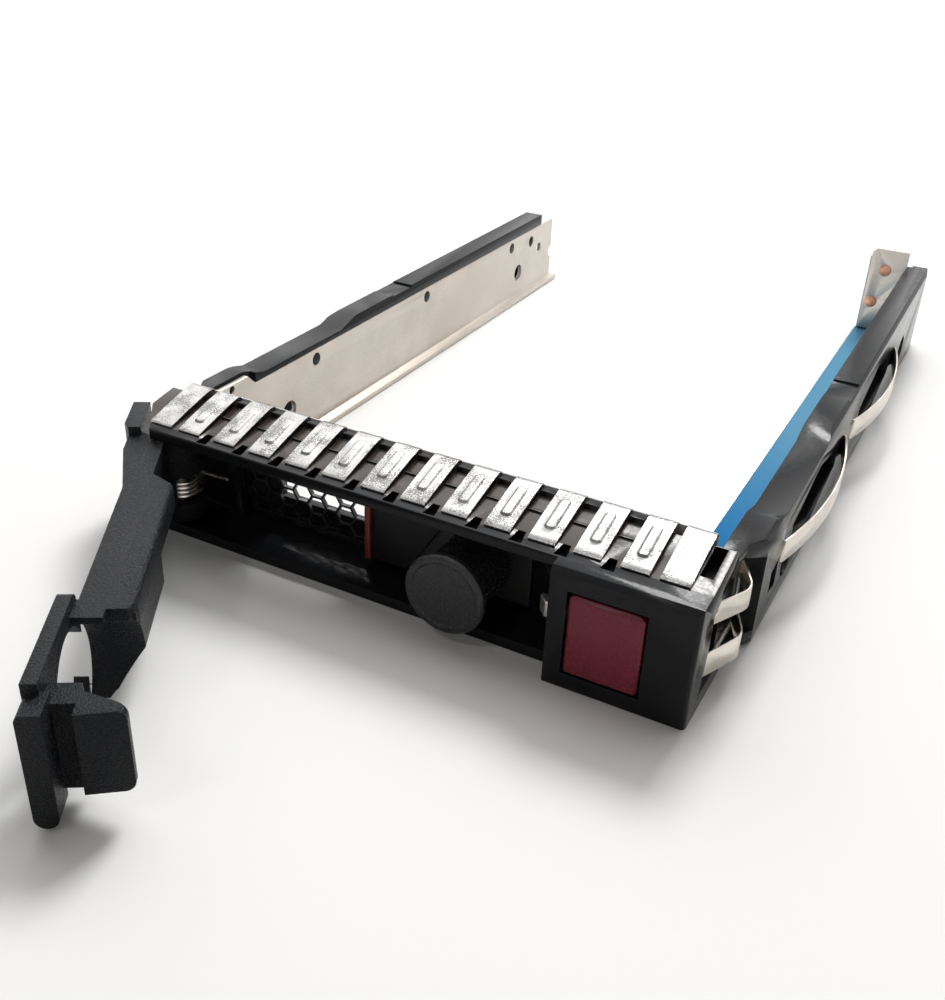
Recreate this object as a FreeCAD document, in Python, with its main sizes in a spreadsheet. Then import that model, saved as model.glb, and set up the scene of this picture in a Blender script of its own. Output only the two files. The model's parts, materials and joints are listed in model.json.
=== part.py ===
import FreeCAD, Part
import Sketcher
import math
import os
import re

# Hot swap drive caddy for a 2.5 inch drive, as a parametric document.
#
# X runs along the bezel, Y from the front face towards the back, Z up.  Every
# piece is drawn with y = 0 at the front face and z = 0 at its underside, and is
# then set back by origin_setback, so that the origin lies on the underside of
# the bezel, in the middle of its width and depth.  The ejector lever is drawn
# closed, about its own pivot, and stands open by lever_open.

# name, millimetres or degrees, what it is
SIZES = [
    ("origin_setback", 6.0, "front face to the origin"),
    ("margin", 1.0, "how far a cutting tool runs past the material"),
    ("fit", 0.05, "radial clearance of a pin or a stake"),
    # drive bay
    ("drive_width", 69.85, "a 2.5 inch drive"),
    ("drive_play", 0.25, "side play of the drive between the plates"),
    ("drive_hole_height", 5.1, "side screw holes above the underside"),
    ("drive_hole_rear", 108.2, "rear side screw holes from the front face"),
    ("drive_hole_pitch", 76.6, "between the side screw holes of a drive"),
    ("drive_hole_radius", 1.6, "clearance for an M3 screw"),
    ("screw_access_radius", 2.9, "room for the screw's head in the rail"),
    # side plates, folded steel sheet
    ("plate_thick", 0.8, ""),
    ("plate_height", 12.5, ""),
    ("plate_gap", 0.05, "plate to the plastic beside it"),
    ("bend_radius", 0.3, ""),
    ("plate_start", 0.6, "front end of the side plates behind the bezel"),
    ("left_plate_end", 123.5, ""),
    ("right_plate_end", 128.5, ""),
    ("left_foot", 1.6, "width of the left plate's foot"),
    ("foot_edge", 0.55, "foot past the ribbon that it carries"),
    ("foot_end", 127.2, "rear end of the right plate's foot"),
    ("ear_inset", 1.9, ""),
    ("ear_length", 10.0, ""),
    ("ear_rise", 1.5, ""),
    ("ear_hole_radius", 0.55, ""),
    ("tab_width", 7.4, "upright tab at the rear of the right plate"),
    ("tab_height", 16.9, ""),
    ("tab_clear", 1.3, "underside of the tab above the base"),
    ("tab_corner", 0.9, ""),
    ("plate_nick", 1.1, "relief cut in the left plate's rear edge"),
    ("lock_hole_radius", 1.05, "round holes at the left plate's rear end"),
    ("lock_hole_front", 113.6, ""),
    ("lock_hole_rear", 117.4, "hole past the end of the rail"),
    ("lock_hole_high", 10.1, ""),
    ("lock_hole_low", 7.9, ""),
    # rails, moulded plastic
    ("rail_thick", 3.1, ""),
    ("rail_floor", 0.4, "underside of the rails"),
    ("rail_height", 14.5, ""),
    ("rail_edge", 0.5, "chamfer along the outer top edge"),
    ("rail_gap", 0.2, ""),
    ("left_rail_end", 118.0, ""),
    ("right_rail_end", 128.6, ""),
    ("rail_nose_length", 3.0, "front stretch where the rail widens"),
    ("rail_tail", 3.2, "slope at the rear end of the rails"),
    ("dip_start", 22.3, "lowered stretch of the rail's top"),
    ("dip_length", 27.0, ""),
    ("dip_depth", 1.1, ""),
    ("dip_ramp", 4.0, ""),
    ("step_place", 60.4, "small step in the rail's top"),
    ("step_length", 6.0, ""),
    ("step_depth", 0.3, ""),
    ("stake_radius", 0.95, "plastic stakes through the plate"),
    ("stake_height", 10.9, ""),
    ("stake_first", 38.7, ""),
    ("stake_pitch", 33.0, ""),
    ("wedge_slot_start", 23.2, "small open slot ahead of the front leaf spring"),
    ("wedge_slot_length", 3.0, ""),
    ("wedge_slot_low", 3.6, ""),
    ("wedge_slot_high", 7.6, ""),
    ("wedge_slot_taper", 0.6, ""),
    ("wedge_slot_depth", 1.2, ""),
    # leaf springs on the rails
    ("leaf_front_start", 27.5, "front end of the front leaf spring"),
    ("leaf_rear_start", 66.0, "front end of the rear leaf spring"),
    ("leaf_span", 33.0, ""),
    ("leaf_rise", 2.2, ""),
    ("leaf_thick", 0.25, ""),
    ("leaf_low", 6.2, ""),
    ("leaf_high", 9.2, ""),
    ("leaf_tab", 1.5, "bent end that goes into the rail"),
    ("leaf_slot_play", 0.15, ""),
    ("leaf_pocket_depth", 1.7, ""),
    ("leaf_pocket_reach", 2.4, "height of the pocket above and below the strip"),
    # bezel, moulded plastic
    ("left_arm", 1.6, "thickness of the left arm outside the rail line"),
    ("right_arm", 1.4, "thickness of the right arm"),
    ("bezel_depth", 11.5, ""),
    ("bezel_corner", 0.6, "rounding of the upright front edges"),
    ("face_height", 14.8, ""),
    ("face_chamfer", 0.5, ""),
    ("comb_front", 3.1, "front ends of the contact fingers"),
    ("top_front_rise", 0.2, "rise of the top behind the face"),
    ("top_rear_inset", 1.1, "where the sloping top ends, from the rear"),
    ("top_rear_rise", 1.5, ""),
    ("rear_rise", 0.9, ""),
    ("block_width", 16.3, "width of the closed right-hand block"),
    ("rear_wall", 1.6, "thickness of the rear wall"),
    ("lip_thick", 1.2, "thickness of the upper lip"),
    ("floor_thick", 1.4, ""),
    ("pivot_boss_radius", 2.1, ""),
    ("pivot_boss_gap", 0.1, ""),
    ("upper_setback", 1.8, "front edge of the upper lip"),
    ("lower_setback", 3.0, "front edge of the floor"),
    ("corner_width", 3.5, "cut left corner that lets the heel swing"),
    ("corner_depth", 4.7, ""),
    ("arm_length", 3.6, ""),
    ("arm_low", 0.5, ""),
    ("arm_high", 12.9, ""),
    ("arm_stake_radius", 0.9, ""),
    ("arm_stake_start", 2.0, ""),
    ("arm_stake_low", 3.6, ""),
    ("arm_stake_high", 10.4, ""),
    ("screw_wall_width", 5.6, "low wall at the right of the recess"),
    ("screw_wall_thick", 0.8, ""),
    ("screw_wall_height", 9.8, ""),
    ("screw_wall_hole", 0.45, "radius"),
    ("screw_wall_hole_height", 6.9, ""),
    ("leg_reach", 6.4, "pivot to the upright rib that stops the leg"),
    ("leg_rib_thick", 1.0, ""),
    ("leg_rib_reach", 1.6, ""),
    # comb details moulded in the top of the bezel
    ("end_gap", 1.13, "gap beside the end fingers"),
    ("finger_width", 3.164, ""),
    ("finger_count", 12, ""),
    ("comb_inset", 0.2, "end of the comb short of the bay"),
    ("end_finger_width", 3.25, ""),
    ("notch_length", 0.95, "trapezoid notch at the front of each gap"),
    ("notch_depth", 0.8, ""),
    ("notch_taper", 0.3, ""),
    ("tooth_length", 1.7, "bevelled tooth at the rear of each gap"),
    ("tooth_rise", 0.6, ""),
    ("tooth_bevel", 0.5, ""),
    ("tooth_play", 0.12, ""),
    ("end_recess_front", 5.4, "shallow recess at the right of the comb"),
    ("end_recess_depth", 0.9, ""),
    ("end_recess_edge", 0.9, ""),
    ("rib_place", 7.4, "low rib across each gap"),
    ("rib_thick", 0.35, ""),
    ("rib_rise", 1.0, ""),
    # contact comb, sheet steel
    ("comb_thick", 0.2, ""),
    ("comb_gap", 0.06, "finger tips above the top"),
    ("comb_tip_rise", 0.3, "heights of the fingers above the top"),
    ("comb_mid", 5.9, "first bend of a finger"),
    ("comb_mid_rise", 1.1, ""),
    ("comb_high", 8.5, "second bend of a finger"),
    ("comb_high_rise", 0.5, ""),
    ("comb_crest_inset", 0.8, ""),
    ("comb_crest_rise", 1.0, ""),
    ("comb_shoulder_rise", 1.1, "where the sheet turns down behind the bezel"),
    ("comb_skirt_drop", 2.5, "reach of the sheet down the rear face"),
    ("comb_behind", 0.05, "sheet to the rear face of the bezel"),
    ("bead_width", 0.9, "raised bead on a finger"),
    ("bead_start", 4.8, ""),
    ("bead_end", 9.4, ""),
    ("bead_rise", 0.28, ""),
    ("bead_ramp", 0.35, ""),
    # side contact clip, sheet steel
    ("clip_thick", 0.2, ""),
    ("clip_root", 0.1, "how far the bars' ends reach into the frame"),
    ("clip_pocket", 0.8, "depth of the pocket that holds the clip"),
    ("clip_start", 3.8, ""),
    ("clip_reach", 3.1, "clip past the arm"),
    ("clip_band", 1.2, ""),
    ("clip_rise", 2.6, ""),
    ("clip_low", 2.2, ""),
    ("clip_high", 12.8, ""),
    ("clip_bar_low", 3.0, "lower bar, lower edge"),
    ("clip_bar_low_top", 6.0, ""),
    ("clip_bar_high", 9.2, "upper bar, lower edge"),
    ("clip_bar_high_top", 11.8, ""),
    ("clip_play", 0.15, ""),
    ("clip_lower_span", 12.7, ""),
    ("clip_upper_start", 6.1, ""),
    ("clip_lower_start", 4.9, ""),
    ("clip_upper_span", 11.5, ""),
    ("clip_apex", 11.0, "high point of the frame"),
    ("clip_apex_rise", 0.35, ""),
    ("clip_rear_top", 11.9, "upper edge of the pocket at its rear end"),
    ("clip_roof", 13.9, "upper edge of the pocket at the bezel"),
    ("clip_crest", 0.4, "half of the flat on the crest of a bar"),
    ("clip_crest_drop", 0.25, ""),
    ("clip_hollow_depth", 2.0, "hollow behind the bars"),
    ("clip_hollow_wall", 0.6, ""),
    # screen
    ("screen_start", 6.0, "pivot to the left edge of the screen"),
    ("screen_gap", 0.4, "screen to the lamp board"),
    ("screen_low", 2.0, ""),
    ("screen_high", 13.2, ""),
    ("screen_thick", 0.5, ""),
    ("screen_play", 0.1, ""),
    ("screen_frame", 0.8, "rim that the screen rests on"),
    ("window_low", 5.4, "opening in the wall behind the screen"),
    ("window_inset", 6.4, ""),
    ("cell_pitch", 2.5, ""),
    ("cell_web", 0.32, ""),
    ("cell_columns", 8, ""),
    ("cell_rows", 5, ""),
    # status lamp
    ("lens_inset", 12.4, "centre of the status lens from the block"),
    ("lens_height", 6.6, ""),
    ("lens_radius", 5.0, ""),
    ("lens_front", -0.1, "lens face ahead of the front face"),
    ("lens_flange", 1.0, ""),
    ("lens_edge", 0.25, ""),
    ("lens_dish", 0.12, ""),
    ("lens_rim", 0.9, ""),
    ("stem_radius", 4.1, ""),
    ("board_thick", 1.2, ""),
    ("cover_thick", 0.6, ""),
    ("board_reach", 14.4, "left edge of the lamp board from the lens"),
    ("board_inset", 5.8, "right edge of the lamp board from the block"),
    ("board_low", 2.2, ""),
    ("board_high", 13.0, ""),
    ("cover_top", 11.3, "widths of the cover, from its left edge"),
    ("cover_foot", 4.8, ""),
    ("cover_waist", 6.7, ""),
    ("cover_shoulder", 9.5, ""),
    ("cover_waist_height", 2.7, "heights above the board's lower edge"),
    ("cover_shoulder_height", 7.35, ""),
    ("guide_thick", 0.8, "light guide on the board's left edge"),
    ("guide_proud", 0.5, ""),
    ("guide_high", 13.4, ""),
    # flex ribbon
    ("ribbon_thick", 0.2, ""),
    ("ribbon_width", 6.9, ""),
    ("ribbon_inset", 0.15, "ribbon to the side plate"),
    ("ribbon_low", 3.6, "lower edge of the run behind the bezel"),
    ("ribbon_high", 9.4, ""),
    ("ribbon_reach", 4.6, "left end of the run behind the bezel, from the lens"),
    ("ribbon_play", 0.1, ""),
    ("ribbon_top", 15.0, "upper end behind the tab"),
    ("rivet_radius", 0.75, ""),
    ("rivet_head_radius", 1.05, ""),
    ("rivet_head", 0.25, ""),
    ("rivet_one_inset", 3.75, ""),
    ("rivet_one_height", 12.9, ""),
    ("rivet_two_inset", 5.15, ""),
    ("rivet_two_height", 6.6, ""),
    # release button and latch
    ("button_inset", 2.3, ""),
    ("button_width", 8.4, ""),
    ("button_low", 2.1, ""),
    ("button_high", 12.1, ""),
    ("button_proud", 0.3, ""),
    ("button_end", 7.0, ""),
    ("button_play", 0.25, ""),
    ("button_travel", 1.5, ""),
    ("button_bevel", 0.4, ""),
    ("button_wall", 1.3, "thickness of the button's front"),
    ("coil_bore_gap", 0.1, ""),
    ("pocket_end", 9.2, ""),
    ("latch_low", 6.2, ""),
    ("latch_high", 8.2, ""),
    ("latch_play", 0.2, ""),
    ("latch_front", 2.7, ""),
    ("latch_nose_end", 4.3, ""),
    ("latch_reach", 2.4, "tip of the latch past the wall"),
    ("latch_nose_ramp", 1.0, ""),
    ("latch_step", 0.1, "left edge of the wide part, from the button"),
    ("latch_inset", 2.1, ""),
    ("latch_back", 7.6, ""),
    ("cam_inset", 3.2, "cam pin of the button, from its left edge"),
    ("cam_depth", 4.6, ""),
    ("cam_radius", 0.7, ""),
    ("cam_slot_half", 0.6, "half of the slot's corner offset"),
    ("coil_height", 3.95, ""),
    ("coil_bore", 1.4, ""),
    ("coil_radius", 1.0, ""),
    ("coil_wire", 0.18, "wire radius"),
    ("coil_start", 3.0, ""),
    ("coil_turns", 4, ""),
    # ejector lever
    ("pivot_inset", 4.3, "pivot from the left end of the bezel"),
    ("pivot_depth", 5.5, "pivot behind the front face"),
    ("pivot_radius", 0.9, ""),
    ("pin_low", 0.2, ""),
    ("pin_reach", 1.1, ""),
    ("lever_open", 57.6, "degrees"),
    ("lever_floor_gap", 0.4, "lever above the floor"),
    ("lever_lip_gap", 0.3, "lever below the upper lip"),
    ("tip_gap", 0.3, "tip of the closed lever to the block"),
    ("knuckle_radius", 3.1, ""),
    ("spring_gap_low", 4.1, "gap between the knuckles for the spring"),
    ("spring_gap_high", 8.1, ""),
    ("spring_gap_radius", 2.9, ""),
    ("heel_reach", 1.8, "heel past the left end of the bezel"),
    ("heel_root", 0.2, ""),
    ("heel_front", 0.6, "heel ahead of the front face"),
    ("heel_thick", 2.1, ""),
    ("heel_rise", 1.1, ""),
    ("panel_inset", 5.0, "pivot to where the face turns in"),
    ("label_inset", 14.5, "pivot to the flat set-back face"),
    ("label_setback", 1.7, ""),
    ("web_back", 4.6, "rear of the lever's lower web"),
    ("flange_inset", 12.2, "pivot to the upper flange"),
    ("flange_back", 7.3, ""),
    ("flange_low", 10.4, ""),
    ("flange_gap", 3.4, "flange to the lens centre"),
    ("shoulder_reach", 18.1, "lens centre to the thick part"),
    ("shoulder_back", 7.2, ""),
    ("shoulder_gap", 4.1, ""),
    ("shoulder_slope", 6.5, "height where the thick part tapers"),
    ("shoulder_round", 1.0, ""),
    ("collar_gap", 2.0, ""),
    ("collar_back", 4.6, ""),
    ("ring_play", 0.8, "ring around the lens"),
    ("cup_step", 0.5, "wider bore behind the ring"),
    ("ring_reach", 5.0, "lens centre to the left edge of the ring plate"),
    ("ring_plate_thick", 1.5, ""),
    ("ring_plate_low", 0.3, ""),
    ("ring_plate_drop", 0.3, ""),
    ("ring_corner", 1.1, ""),
    ("end_plate_width", 3.3, ""),
    ("end_plate_thick", 2.3, ""),
    ("end_plate_round", 0.7, ""),
    ("hook_block_inset", 5.6, ""),
    ("hook_block_width", 2.9, ""),
    ("hook_block_low", 2.6, ""),
    ("hook_high", 12.4, ""),
    ("hook_low", 3.2, ""),
    ("hook_front", 4.5, ""),
    ("hook_back", 9.0, ""),
    ("hook_inset", 1.1, ""),
    ("hook_width", 1.3, ""),
    ("hook_overlap", 0.5, ""),
    ("hook_taper", 0.5, ""),
    ("hook_corner", 1.0, ""),
    ("lever_round", 1.3, "rear lower edge of the web"),
    ("flange_round", 0.6, ""),
    # torsion spring of the lever
    ("torsion_radius", 2.1, ""),
    ("torsion_wire", 0.28, "wire radius"),
    ("torsion_low", 4.6, ""),
    ("torsion_high", 7.4, ""),
    ("torsion_turns", 4.5, ""),
    ("torsion_stub", 1.6, ""),
]

# places and heights that several pieces share, worked out from the sizes above
DERIVED = [
    ("bay", "(drive_width + drive_play) / 2"),
    ("plate_out", "bay + plate_thick"),
    ("rail_in", "plate_out + plate_gap"),
    ("rail_out", "rail_in + rail_thick"),
    ("bezel_left", "rail_in + left_arm"),
    ("bezel_right", "rail_in + right_arm"),
    # heights and depths of the bezel
    ("top_front_height", "face_height + top_front_rise"),
    ("top_rear_height", "face_height + top_rear_rise"),
    ("rear_height", "face_height + rear_rise"),
    ("recess_top", "face_height - lip_thick"),
    ("tooth_height", "top_rear_height + tooth_rise"),
    ("rib_height", "top_front_height + rib_rise"),
    ("recess_depth", "bezel_depth - rear_wall"),
    ("top_rear", "bezel_depth - top_rear_inset"),
    ("screw_wall_front", "recess_depth - screw_wall_thick"),
    ("arm_end", "bezel_depth + arm_length"),
    ("arm_stake_place", "bezel_depth + arm_stake_start"),
    ("plate_front", "bezel_depth + plate_start"),
    ("rail_front", "arm_end + rail_gap"),
    ("ear_start", "plate_front + ear_inset"),
    # along the bezel
    ("latch_wall", "bezel_right - block_width"),
    ("screw_wall_left", "latch_wall - screw_wall_width"),
    ("pivot_place", "bezel_left - pivot_inset"),
    ("leg_rib_place", "pivot_place - leg_reach"),
    ("lens_place", "latch_wall - lens_inset"),
    ("board_left", "lens_place - board_reach"),
    ("board_right", "latch_wall - board_inset"),
    ("cover_front", "recess_depth - board_thick - cover_thick"),
    ("guide_front", "cover_front - guide_proud"),
    ("screen_left", "pivot_place - screen_start"),
    ("screen_right", "board_left - screen_gap"),
    ("window_left", "screen_left - window_inset"),
    # contact comb and side clip
    ("comb_half", "bay - comb_inset"),
    ("finger_pitch", "((comb_half - end_finger_width - end_gap) * 2 - finger_width) / (finger_count - 1)"),
    ("comb_first", "comb_half - end_finger_width - end_gap"),
    ("comb_lip", "top_front_height + comb_gap"),
    ("comb_tip_height", "top_front_height + comb_tip_rise"),
    ("comb_mid_height", "top_front_height + comb_mid_rise"),
    ("comb_high_height", "top_rear_height + comb_high_rise"),
    ("comb_crest_height", "top_rear_height + comb_crest_rise"),
    ("comb_crest", "bezel_depth - comb_crest_inset"),
    ("comb_back", "bezel_depth + comb_behind + comb_thick"),
    ("comb_shoulder", "rear_height + comb_shoulder_rise"),
    ("comb_skirt", "rear_height - comb_skirt_drop"),
    ("clip_seat", "bezel_right - clip_pocket"),
    ("clip_end", "arm_end + clip_reach"),
    ("clip_hollow_end", "bezel_depth - clip_hollow_wall"),
    # release button and latch
    ("button_left", "latch_wall + button_inset"),
    ("button_right", "button_left + button_width"),
    ("coil_place", "button_left + button_width / 2"),
    ("cam_place", "button_left + cam_inset"),
    ("latch_nose", "latch_wall - latch_reach"),
    ("latch_body", "button_left + latch_step"),
    ("latch_right", "button_right - latch_inset"),
    # ejector lever
    ("lever_low", "floor_thick + lever_floor_gap"),
    ("lever_high", "recess_top - lever_lip_gap"),
    ("heel_high", "lever_high + heel_rise"),
    ("pin_high", "recess_top + pin_reach"),
    ("heel_end", "bezel_left + heel_reach"),
    ("heel_start", "pivot_place - heel_root"),
    ("panel_left", "pivot_place - panel_inset"),
    ("label_left", "pivot_place - label_inset"),
    ("flange_left", "pivot_place - flange_inset"),
    ("flange_end", "lens_place - flange_gap"),
    ("shoulder_left", "lens_place - shoulder_reach"),
    ("shoulder_end", "lens_place - shoulder_gap"),
    ("collar_end", "lens_place - collar_gap"),
    ("ring_plate_left", "lens_place - ring_reach"),
    ("ring_plate_high", "face_height - ring_plate_drop"),
    ("lever_tip", "latch_wall - tip_gap"),
    ("end_plate_left", "lever_tip - end_plate_width"),
    ("hook_block_left", "lever_tip - hook_block_inset"),
    ("hook_block_right", "hook_block_left + hook_block_width"),
    ("hook_right", "lever_tip - hook_inset"),
    ("hook_tip_left", "hook_right - hook_width"),
    # flex ribbon and its rivets
    ("ribbon_right", "bay - ribbon_inset"),
    ("ribbon_left", "ribbon_right - ribbon_width"),
    ("ribbon_inner_end", "lens_place - ribbon_reach"),
    ("right_foot", "ribbon_inset + ribbon_width + foot_edge"),
    ("rivet_one_place", "bay - rivet_one_inset"),
    ("rivet_two_place", "bay - rivet_two_inset"),
]

doc = FreeCAD.newDocument("drive_caddy")
sheet = doc.addObject("Spreadsheet::Sheet", "sizes")
for row, (name, value, note) in enumerate(SIZES, start=1):
    sheet.set(f"A{row}", name)
    sheet.set(f"B{row}", str(value))
    sheet.set(f"C{row}", note)
    sheet.setAlias(f"B{row}", name)
for row, (name, formula) in enumerate(DERIVED, start=len(SIZES) + 2):
    sheet.set(f"A{row}", name)
    sheet.set(f"B{row}", "=" + formula)
    sheet.setAlias(f"B{row}", name)
doc.recompute()
KNOWN = {name for name, value, note in SIZES} | {name for name, formula in DERIVED}
parts = []


def size(name):
    """The number in the sheet under this name."""
    return float(sheet.get(name))


def from_sheet(match):
    word = match.group(0)
    return "sizes." + word if word in KNOWN else word


def bound(text):
    """An expression in plain size names, with each name read from the sheet."""
    return re.sub(r"[a-z]\w*", from_sheet, text)


def new_body(name, place=("0", "-origin_setback", "0")):
    body = doc.addObject("PartDesign::Body", name)
    body.Label = name
    for axis, text in zip("xyz", place):
        body.setExpression(f"Placement.Base.{axis}", bound(text))
    parts.append(body)
    return body


def origin_plane(body, role):
    return next(item for item in body.Origin.OriginFeatures if item.Role == role)


def pin_point(sketch, geometry, end, x, y, x_at=1.0, y_at=1.0):
    """Hold one end of a sketch line at two expressions, from a first guess."""
    for kind, text, guess in (("DistanceX", x, x_at), ("DistanceY", y, y_at)):
        index = sketch.addConstraint(Sketcher.Constraint(kind, -1, 1, geometry, end, guess))
        sketch.setExpression(f"Constraints[{index}]", bound(text))


def draw_loop(sketch, points):
    """A closed outline of straight lines through the points."""
    first = sketch.GeometryCount
    count = len(points)
    ring = [FreeCAD.Vector(math.cos(2 * math.pi * i / count), math.sin(2 * math.pi * i / count), 0)
            for i in range(count)]
    for i in range(count):
        sketch.addGeometry(Part.LineSegment(ring[i], ring[(i + 1) % count]), False)
    for i in range(count):
        sketch.addConstraint(Sketcher.Constraint("Coincident", first + i, 2, first + (i + 1) % count, 1))
    for i, (x, y) in enumerate(points):
        pin_point(sketch, first + i, 1, x, y)


def draw_circle(sketch, x, y, radius):
    index = sketch.addGeometry(Part.Circle(FreeCAD.Vector(1, 1, 0), FreeCAD.Vector(0, 0, 1), 1.0), False)
    pin_point(sketch, index, 3, x, y)
    held = sketch.addConstraint(Sketcher.Constraint("Radius", index, 1.0))
    sketch.setExpression(f"Constraints[{held}]", bound(radius))


def new_sketch(body, name, role, offset, loops):
    """Loops are lists of corner points, or (x, y, radius) for a circle."""
    sketch = body.newObject("Sketcher::SketchObject", name)
    sketch.AttachmentSupport = [(origin_plane(body, role), "")]
    sketch.MapMode = "FlatFace"
    sketch.setExpression("AttachmentOffset.Base.z", bound(offset))
    for loop in loops:
        if isinstance(loop, tuple):
            draw_circle(sketch, *loop)
        else:
            draw_loop(sketch, loop)
    return sketch


def pad(body, name, role, start, end, loops):
    """Add material from start to end along the plane's own axis (X, Y or Z)."""
    along_y = role == "XZ_Plane"
    sketch = new_sketch(body, name + "_sketch", role, f"-({start})" if along_y else start, loops)
    feature = body.newObject("PartDesign::Pad", name)
    feature.Profile = sketch
    feature.Reversed = along_y
    feature.setExpression("Length", bound(f"({end}) - ({start})"))
    doc.recompute()
    return feature


def pocket(body, name, role, start, end, loops):
    """Take material away from start to end along the plane's own axis."""
    along_y = role == "XZ_Plane"
    before = body.Shape.Volume
    sketch = new_sketch(body, name + "_sketch", role, f"-({start})" if along_y else end, loops)
    feature = body.newObject("PartDesign::Pocket", name)
    feature.Profile = sketch
    feature.setExpression("Length", bound(f"({end}) - ({start})"))
    doc.recompute()
    if body.Shape.Volume >= before:
        raise RuntimeError(f"{name} cuts nothing")
    return feature


def box_loop(x0, x1, y0, y1):
    return [(x0, y0), (x1, y0), (x1, y1), (x0, y1)]


def repeat(body, name, features, role, count, pitch):
    """Copies of features along the normal of an origin plane."""
    pattern = body.newObject("PartDesign::LinearPattern", name)
    pattern.Originals = features
    pattern.Direction = (origin_plane(body, role), [""])
    pattern.setExpression("Length", bound(f"({pitch}) * (({count}) - 1)"))
    pattern.setExpression("Occurrences", bound(count))
    body.Tip = pattern
    doc.recompute()
    return pattern


def chosen_edges(shape, wanted):
    return [f"Edge{i}" for i, edge in enumerate(shape.Edges, start=1) if wanted(edge)]


def dress(body, name, kind, amount, wanted):
    """Fillet or Chamfer the edges that wanted() picks."""
    base = body.Tip
    edges = chosen_edges(base.Shape, wanted)
    if not edges:
        raise RuntimeError(f"{name} finds no edge")
    feature = body.newObject(f"PartDesign::{kind}", name)
    feature.Base = (base, edges)
    feature.setExpression("Radius" if kind == "Fillet" else "Size", bound(amount))
    doc.recompute()
    return feature


def runs_along(edge, axis):
    """True for a straight edge along x, y or z."""
    if not isinstance(edge.Curve, Part.Line):
        return False
    return abs(abs(getattr(edge.Curve.Direction, axis)) - 1) < 1e-6


def near(value, target):
    return abs(value - target) < 1e-3


def sided(side, low, high):
    """A span along X on the right (side 1), or its mirror image on the left (side -1)."""
    if side > 0:
        return low, high
    return f"-({high})", f"-({low})"


def mirrored_loop(side, points):
    if side > 0:
        return points
    return [(f"-({x})", y) for x, y in points]


# ---------------------------------------------------------------- bezel
bezel = new_body("bezel_housing")
pad(bezel, "shell", "YZ_Plane", "-bezel_left", "bezel_right", [[
    ("0", "0"),
    ("bezel_depth", "0"),
    ("bezel_depth", "rear_height"),
    ("top_rear", "top_rear_height"),
    ("comb_front", "top_front_height"),
    ("face_chamfer", "face_height"),
    ("0", "face_height - face_chamfer"),
]])
dress(bezel, "corner", "Fillet", "bezel_corner",
      lambda edge: runs_along(edge, "z") and near(edge.CenterOfMass.x, size("bezel_right"))
      and near(edge.CenterOfMass.y, 0))
pocket(bezel, "recess", "YZ_Plane", "-bezel_left - margin", "latch_wall", [[
    ("-margin", "-margin"),
    ("lower_setback", "-margin"),
    ("lower_setback", "floor_thick"),
    ("recess_depth", "floor_thick"),
    ("recess_depth", "recess_top"),
    ("upper_setback", "recess_top"),
    ("upper_setback", "top_rear_height + margin"),
    ("-margin", "top_rear_height + margin"),
]])
pocket(bezel, "heel_room", "XY_Plane", "-margin", "top_rear_height + margin", [[
    ("-bezel_left - margin", "0"),
    ("-bezel_left + corner_width", "0"),
    ("-bezel_left + corner_width", "upper_setback"),
    ("-bezel_left", "upper_setback + corner_depth"),
    ("-bezel_left - margin", "upper_setback + corner_depth"),
]])
pad(bezel, "pivot_boss", "XY_Plane", "floor_thick", "lever_low - pivot_boss_gap",
    [("-pivot_place", "pivot_depth", "pivot_boss_radius")])
pocket(bezel, "pivot_hole", "XY_Plane", "-margin", "pin_high + fit",
       [("-pivot_place", "pivot_depth", "pivot_radius + fit")])
pad(bezel, "leg_rib", "XY_Plane", "floor_thick", "recess_top",
    [box_loop("-leg_rib_place", "-leg_rib_place + leg_rib_thick",
              "recess_depth - leg_rib_reach", "recess_depth")])
pad(bezel, "screw_wall", "XY_Plane", "floor_thick", "screw_wall_height",
    [box_loop("screw_wall_left", "latch_wall", "screw_wall_front", "recess_depth")])
pocket(bezel, "screw_hole", "XZ_Plane", "screw_wall_front - margin", "screw_wall_front + margin",
       [("(screw_wall_left + latch_wall) / 2", "screw_wall_hole_height", "screw_wall_hole")])
pocket(bezel, "screen_seat", "XZ_Plane", "recess_depth - margin", "recess_depth + screen_thick", [box_loop(
    "-screen_left - screen_play", "screen_right + screen_play",
    "screen_low - screen_play", "screen_high + screen_play")])
pocket(bezel, "screen_window", "XZ_Plane", "recess_depth", "bezel_depth + margin", [box_loop(
    "-window_left", "screen_right - screen_frame", "window_low", "screen_high - screen_frame")])
pocket(bezel, "button_pocket", "XZ_Plane", "-margin", "pocket_end", [box_loop(
    "button_left - button_play", "button_right + button_play",
    "button_low - button_play", "button_high + button_play")])
pocket(bezel, "latch_channel", "YZ_Plane", "latch_wall - margin", "button_left", [box_loop(
    "latch_front - latch_play", "latch_nose_end + latch_play",
    "latch_low - latch_play", "latch_high + latch_play")])
pocket(bezel, "ribbon_slot", "XZ_Plane", "recess_depth - margin", "bezel_depth + margin", [box_loop(
    "ribbon_inner_end - ribbon_play", "ribbon_inner_end + ribbon_thick + ribbon_play",
    "ribbon_low - ribbon_play", "ribbon_high + ribbon_play")])
for side, word in ((-1, "left"), (1, "right")):
    outer = "bezel_right" if side > 0 else "bezel_left"
    start, end = sided(side, "rail_in", outer)
    pad(bezel, f"{word}_arm", "YZ_Plane", start, end,
        [box_loop("bezel_depth", "arm_end", "arm_low", "arm_high")])
    start, end = sided(side, "bay", "rail_in")
    pad(bezel, f"{word}_arm_stakes", "YZ_Plane", start, end, [
        ("arm_stake_place", "arm_stake_low", "arm_stake_radius"),
        ("arm_stake_place", "arm_stake_high", "arm_stake_radius"),
    ])
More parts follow.
